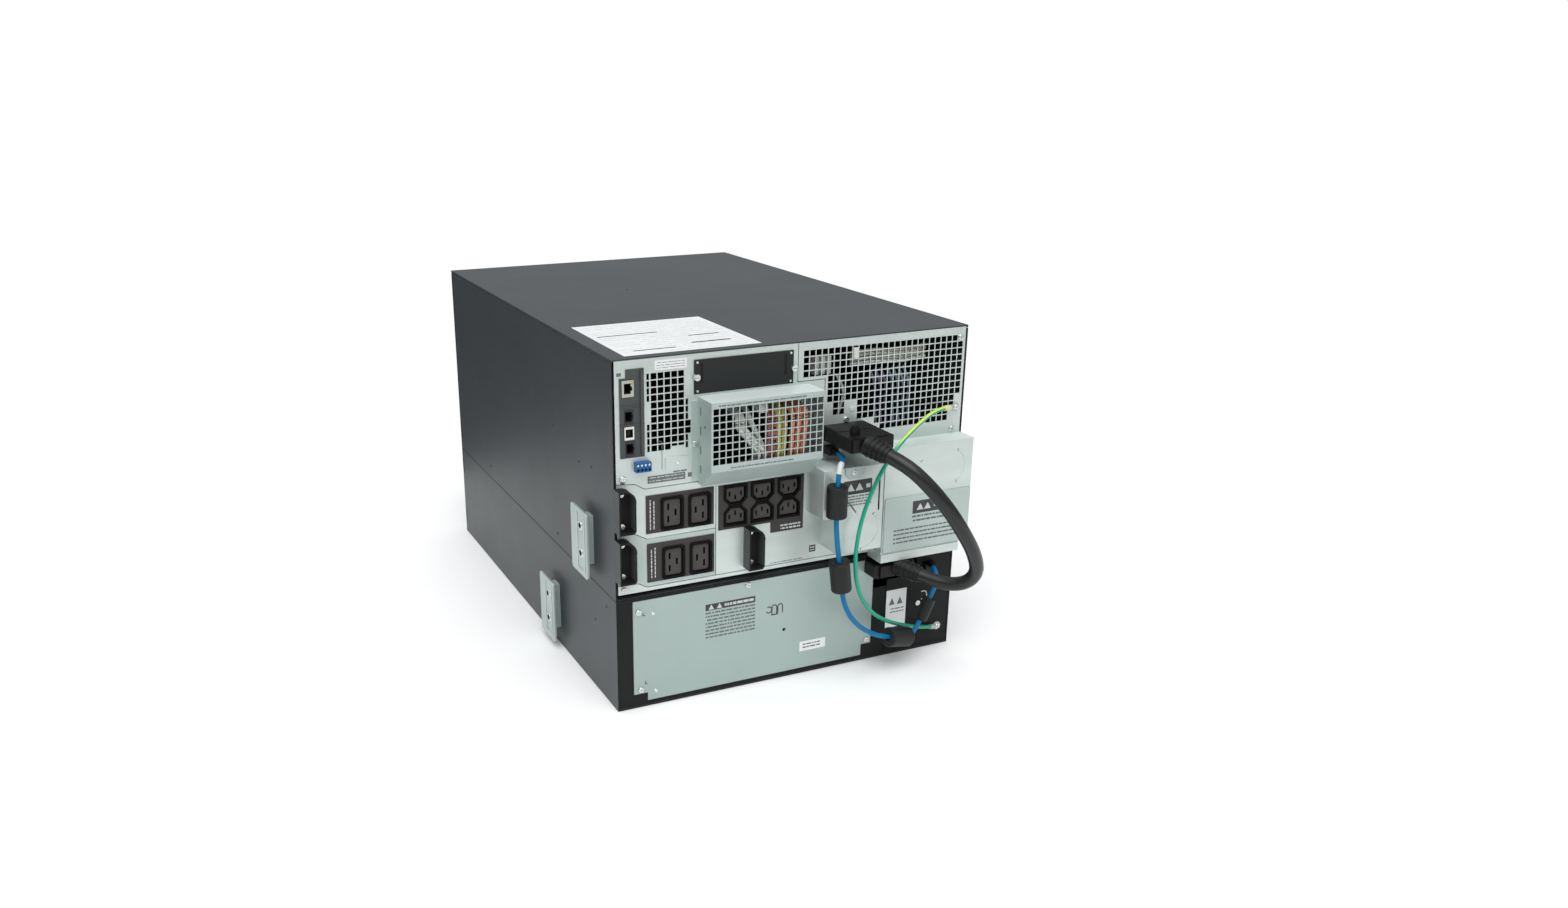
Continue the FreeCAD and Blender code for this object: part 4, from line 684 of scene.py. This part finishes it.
def add_pack_details():
    y = REAR + 0.4
    boxes("pack_small_label", "label_white", [((-43, -9), (y, y + 0.15), (28, 40))])
    print_rows("pack_small_label_print", "print_dark", (-36, -13), (36.2, 32.4), y + 0.15, 1.3)
    mesh = bmesh.new()
    for x in (174.0, 171.0):
        z = 110.0 if x > 172 else 16.7
        tube(mesh, (x, y - 0.1, z), (x, y + 0.9, z), 2.5, 1.9, sides=24)
    piece("pack_rivets", "screw_steel", mesh, slot="screw_steel", smooth=True)
    mesh = bmesh.new()
    arc_strip(mesh, (32.0, 88), 3.6, 1.3, 60, 330, y, 0.12)
    for x in (25.0, 17.5):
        arc_strip(mesh, (x, 90), 3.0, 1.3, 0, 180, y, 0.12)
        for leg in (-3.0, 3.0):
            box(mesh, (x + leg - 0.65, x + leg + 0.65), (y, y + 0.12), (82, 90.2))
    box(mesh, (20.3, 29.0), (y, y + 0.12), (80.6, 82.0))
    for x, z in ((186, 109), (184, 27)):
        box(mesh, (x - 3, x), (y, y + 0.12), (z, z + 0.9))
        box(mesh, (x - 0.9, x), (y, y + 0.12), (z, z + 4))
    piece("pack_icon", "print_dark", mesh)

    face = REAR + 0.1
    boxes("socket_label", "label_white", [((-153, -125), (face, face + 0.15), (35, 83))])
    mesh = bmesh.new()
    for x in (-133, -144):
        prism(mesh, [(x - 4, 64), (x + 4, 64), (x, 73)], face + 0.15, 0.1)
    piece("socket_label_icons", "print_grey", mesh)
    print_rows("socket_label_print", "print_grey", (-150, -131), (58.5, 54.5), face + 0.15, 1.3)
    mesh = bmesh.new()
    arc_strip(mesh, (-177, 69), 5.2, 1.2, 60, 300, face, 0.15)
    piece("socket_mark", "print_light", mesh)


def add_shell_details():
    """Pressed rivets along both sides, as dimples with a thin rim and a near-black centre of painted shade.
    """
    places = [(-162.0, 246.4), (4.5, 246.7), (124.1, 276.7), (-158.2, 146.4), (209.3, 257.3),
              (249.4, 262.6), (308.8, 378.5), (126.0, 144.5), (286.0, 114.0), (249.0, 84.0)]
    rims, holes = bmesh.new(), bmesh.new()
    for side in (-1, 1):
        for y, z in places:
            tube(rims, (side * SIDE, y, z), (side * (SIDE + 0.45), y, z), 2.1, 1.7, sides=24)
            tube(holes, (side * (SIDE + 0.4), y, z), (side * (SIDE + 0.5), y, z), 1.1, sides=20)
    piece("side_rivets", "shell_black", rims, slot="shell_black", smooth=True)
    # Near-black rivet centres: painted shade in the holes.
    piece("side_rivet_hole_shade", "painted_hollow_shade", holes)
    # Near-black strips along the seam between the units: painted shade in the gap.
    seam_height = (PACK_SEAM - 0.35, PACK_SEAM + 0.75)
    seams = [((side * SIDE - 0.02, side * (SIDE + 0.06)), (FRONT + 22, REAR - 1), seam_height)
             for side in (-1, 1)]
    boxes("side_seam_shade", "painted_hollow_shade", seams)


WIRE_SLOTS = ("wire_white", "wire_brown", "wire_yellow", "wire_orange")


def wires(name, finish_name, lines, radius):
    """One piece made of several smooth wires."""
    mesh = bmesh.new()
    for points in lines:
        sweep(mesh, points, radius)
    return piece(name, finish_name, mesh, slot=finish_name if finish_name in WIRE_SLOTS else None,
                 smooth=True)


def add_cage_wires():
    """Output wires close behind the mesh, beside the CAD ones."""
    def hang(x_top, x_low, bulge):
        return [(x_top, REAR - 4, 334), (x_top, REAR + bulge - 4, 326), (x_top, REAR + bulge, 316),
                ((x_top + x_low) / 2, REAR + bulge, 300), (x_low, REAR + bulge - 1, 284),
                (x_low, REAR + bulge - 12, 268), (x_low, REAR + 2, 262)]
    wires("cage_wires_white", "wire_white", [hang(88, 63, 29.2), hang(82, 56, 29.2)], 2.7)
    wires("cage_wires_brown", "wire_brown", [hang(52, 51, 29.2), hang(46, 46, 29.0)], 2.7)
    wires("cage_wires_yellow", "wire_yellow", [hang(41, 40, 29.2), hang(33, 34, 29.2)], 2.8)
    wires("cage_wires_orange", "wire_orange",
          [hang(24, 25, 29.2), hang(17, 18, 29.2), hang(8, 11, 29.2)], 2.8)
    boxes("cage_connector", "port_white", [((53, 64), (REAR + 18, REAR + 29), (328, 338))], bevel=0.6)


def add_vent_contents():
    """Connectors, cable bundles and clips just behind the right grille."""
    boxes("vent_connectors", "wire_white",
          [((x - 2.7, x + 2.7), (REAR - 16, REAR - 4), (353, 373)) for x in (-22.9, -30.5, -38.2)],
          slot="wire_white", bevel=0.5)
    boxes("vent_clips", "wire_white",
          [((-72, -66), (REAR - 4, REAR + 1.6), (368, 380)),
           ((-71, -64.5), (REAR - 1, REAR + 1.2), (309, 314))],
          slot="wire_white", bevel=0.6)
    spans = {"port_cream": (373, 369, 364.5), "wire_white": (360,)}
    for finish_name, heights in spans.items():
        lines = [[(-66, REAR - 7, z), (-95, REAR - 4.2, z + 1.5), (-130, REAR - 4.6, z - 1),
                  (-164, REAR - 8, z + 1)]
                 for z in heights]
        wires("vent_bundle_" + finish_name, finish_name, lines, 2.0)
    drops = {"wire_violet": (-99, -106, -113), "wire_blue": (-122, -129, -136, -143)}
    for finish_name, places in drops.items():
        lines = [[(x + 6, REAR - 10, 352), (x + 1, REAR - 5, 335), (x, REAR - 5, 312), (x - 5, REAR - 9, 287)]
                 for x in places]
        wires("vent_drop_" + finish_name, finish_name, lines, 1.7)
    wires("vent_drop_white", "wire_white",
          [[(-50, REAR - 8, 350), (-58, REAR - 5, 330), (-52, REAR - 8, 300)]], 1.6)


def add_left_vent_details():
    """Tab, hooked line and print below the left vent, and the slot cover's corner screws."""
    y = REAR
    # Near-black strips beside the slot cover: painted shade in its recesses.
    boxes("slot_cover_recess_shade", "painted_hollow_shade", [((115.3, 117.7), (y + 0.1, y + 0.5), (360.1, 380.9)),
                                            ((17.3, 19.7), (y + 0.1, y + 0.5), (359.1, 380.9))])
    boxes("vent_tab", "zinc", [((131, 158), (y, y + 0.9), (270, 284))], slot="zinc", bevel=0.3)
    mesh = bmesh.new()
    tube(mesh, (144.5, y + 0.9, 277), (144.5, y + 1.9, 277), 2.2, 1.7, sides=24)
    for x, z in ((121.5, 382.0), (12.0, 382.0), (121.5, 351.6), (12.0, 351.6)):
        tube(mesh, (x, y + 1.2, z), (x, y + 1.9, z), 1.5, 1.2, sides=20)
    piece("small_screws", "screw_steel", mesh, slot="screw_steel", smooth=True)
    mesh = bmesh.new()
    box(mesh, (161.1, 161.8), (y, y + 0.15), (272, 300))
    arc_strip(mesh, (164.2, 300), 2.8, 0.7, 0, 180, y, 0.15)
    piece("hook_line", "print_grey", mesh)
    print_rows("vent_tab_print", "print_grey", (133, 150), (267.6,), y, 1.6)
    print_rows("panel_low_print", "print_grey", (-9, 31), (144.4,), y, 0.9)


def add_cage_details():
    """Print above and below the mesh, and dark lines of painted shade in the marks pressed into the left
    cheek.
    """
    front = REAR + 33.5
    print_rows("cage_print_top", "print_grey", (10, 112), (342.2,), front, 1.3)
    print_rows("cage_print_low", "print_grey", (24, 98), (274.6,), front, 1.3)
    # Dark lines on the left cheek: painted shade in its pressed marks.
    mesh = bmesh.new()
    for low in (264, 285, 306, 327):
        box(mesh, (120.5, 120.75), (REAR + 7, REAR + 8.2), (low, low + 9))
    box(mesh, (120.5, 120.8), (REAR + 17, REAR + 19), (316, 318))
    piece("cage_cheek_groove_shade", "print_dark", mesh)


def add_rail_details():
    """Pressed channel and washers on each rail bracket."""
    channels, washers = bmesh.new(), bmesh.new()
    for side in (-1, 1):
        for y, z in ((236.5, 175.5), (111.5, 47.0)):
            outer = side * (SIDE + 12.0)
            for edge in (y - 5.5, y + 16.5):
                box(channels, (outer, outer + side * 0.9), (edge, edge + 1.8), (z - 31, z + 33))
            box(channels, (outer, outer + side * 0.9), (y - 5.5, y + 18.3), (z - 32.5, z - 30.7))
            for lift in (20.0, -12.0):
                seat = (Matrix.Translation(Vector((outer + side * 0.5, y + 6, z + lift)) * MM)
                        @ Matrix.Rotation(math.radians(90 * side), 4, "Y"))
                cones = [bmesh.ops.create_cone(washers, cap_ends=False, segments=32, radius1=near * MM,
                                               radius2=far * MM, depth=1.0 * MM, matrix=seat)
                         for near, far in ((5.6, 5.0), (3.6, 3.6))]
                rims = [edge for cone in cones for vert in cone["verts"] for edge in vert.link_edges
                        if edge.is_boundary]
                for end in (0, 1):
                    level = [edge for edge in set(rims)
                             if (edge.verts[0].co.x * side > (outer * side + 0.5) * MM) == bool(end)]
                    bmesh.ops.bridge_loops(washers, edges=level)
    piece("rail_channels", "zinc", channels, slot="zinc", bevel=0.3)
    piece("rail_washers", "screw_steel", washers, slot="screw_steel", smooth=True)


def add_front_details():
    """Display glass with generic bars, status lights, the power mark and the bezel latches."""
    glass = FRONT + 1.2
    boxes("display_glass", "lcd", [((-26.6, 26.6), (glass - 0.5, glass), (313.6, 352.4))], bevel=0.2,
          body="display")
    bars = [((-22, -22 + length), (glass - 0.62, glass - 0.5), (z, z + 2.2))
            for z, length in ((345, 30), (338, 41), (331, 24), (324, 36))]
    bars += [((8 + 4 * step, 10.4 + 4 * step), (glass - 0.62, glass - 0.5), (316, 317.5 + step))
             for step in range(4)]
    boxes("display_bars", "print_light", bars, body="display")
    mesh = bmesh.new()
    for step in range(3):
        tube(mesh, (-40, FRONT - 0.35, 350 + 5 * step), (-40, FRONT + 0.1, 350 + 5 * step), 1.1, sides=20)
    piece("status_lights", "glow_green", mesh, smooth=True, body="display")
    mesh = bmesh.new()
    cap = FRONT - 1.2
    arc_strip(mesh, (-40, 333), 2.6, 0.6, 115, 425, cap - 0.12, 0.14)
    box(mesh, (-40.3, -39.7), (cap - 0.12, cap + 0.02), (333.4, 336.6))
    piece("power_mark", "print_light", mesh, body="power_key")
    latches = [((x - 9, x + 9), (FRONT - 1.6, FRONT + 0.2), (z, z + 5))
               for x in (-188, 188) for z in (352, 112)]
    boxes("bezel_latches", "key_grey", latches, slot="key_grey", bevel=0.6)


add_cage_wires()
add_vent_contents()
add_left_vent_details()
add_cage_details()
add_rail_details()
add_front_details()
add_jack_details()
add_outlet_contacts()
add_box_details()
add_pack_details()
add_shell_details()


# ---- floor, light and world ------------------------------------------------------------------------------
def add_stage():
    mesh = bmesh.new()
    corners = [(x, y, 0) for x, y in ((FLOOR_X[0], FLOOR_Y[0]), (FLOOR_X[1], FLOOR_Y[0]),
                                      (FLOOR_X[1], FLOOR_Y[1]), (FLOOR_X[0], FLOOR_Y[1]))]
    mesh.faces.new([mesh.verts.new(corner) for corner in corners])
    data = bpy.data.meshes.new("floor")
    mesh.to_mesh(data)
    mesh.free()
    floor = bpy.data.objects.new("floor", data)
    floor.location = (0, 0, -0.0005)
    scene.collection.objects.link(floor)
    data.materials.append(finish("floor_pale", (0.93, 0.93, 0.93), 0.85, mottle=0.005))


def add_lights():
    world = bpy.data.worlds.new("studio")
    world.use_nodes = True
    nodes, links = world.node_tree.nodes, world.node_tree.links
    backdrop = nodes["Background"]
    backdrop.inputs["Color"].default_value = (1, 1, 1, 1)
    backdrop.inputs["Strength"].default_value = 1.0
    fill = nodes.new("ShaderNodeBackground")
    fill.inputs["Color"].default_value = (0.97, 0.99, 1, 1)
    heading = nodes.new("ShaderNodeTexCoord")
    towards = nodes.new("ShaderNodeVectorMath")
    towards.operation = "DOT_PRODUCT"
    towards.inputs[1].default_value = FILL_FROM
    links.new(heading.outputs["Generated"], towards.inputs[0])
    level = nodes.new("ShaderNodeMapRange")
    level.inputs["From Min"].default_value = -0.15
    level.inputs["To Min"].default_value = FILL_RANGE[0]
    level.inputs["To Max"].default_value = FILL_RANGE[1]
    links.new(towards.outputs["Value"], level.inputs["Value"])
    links.new(level.outputs["Result"], fill.inputs["Strength"])
    seen = nodes.new("ShaderNodeLightPath")
    mix = nodes.new("ShaderNodeMixShader")
    links.new(seen.outputs["Is Camera Ray"], mix.inputs["Fac"])
    links.new(fill.outputs["Background"], mix.inputs[1])
    links.new(backdrop.outputs["Background"], mix.inputs[2])
    links.new(mix.outputs["Shader"], nodes["World Output"].inputs["Surface"])
    scene.world = world
    sun = bpy.data.lights.new("softbox", "SUN")
    sun.energy = SUN_STRENGTH
    sun.angle = math.radians(55)
    light = bpy.data.objects.new("softbox", sun)
    light.rotation_euler = Vector(SUN_FROM).to_track_quat("Z", "Y").to_euler()
    scene.collection.objects.link(light)


add_stage()
add_lights()
scene.view_settings.view_transform = "Standard"
scene.view_settings.look = "None"
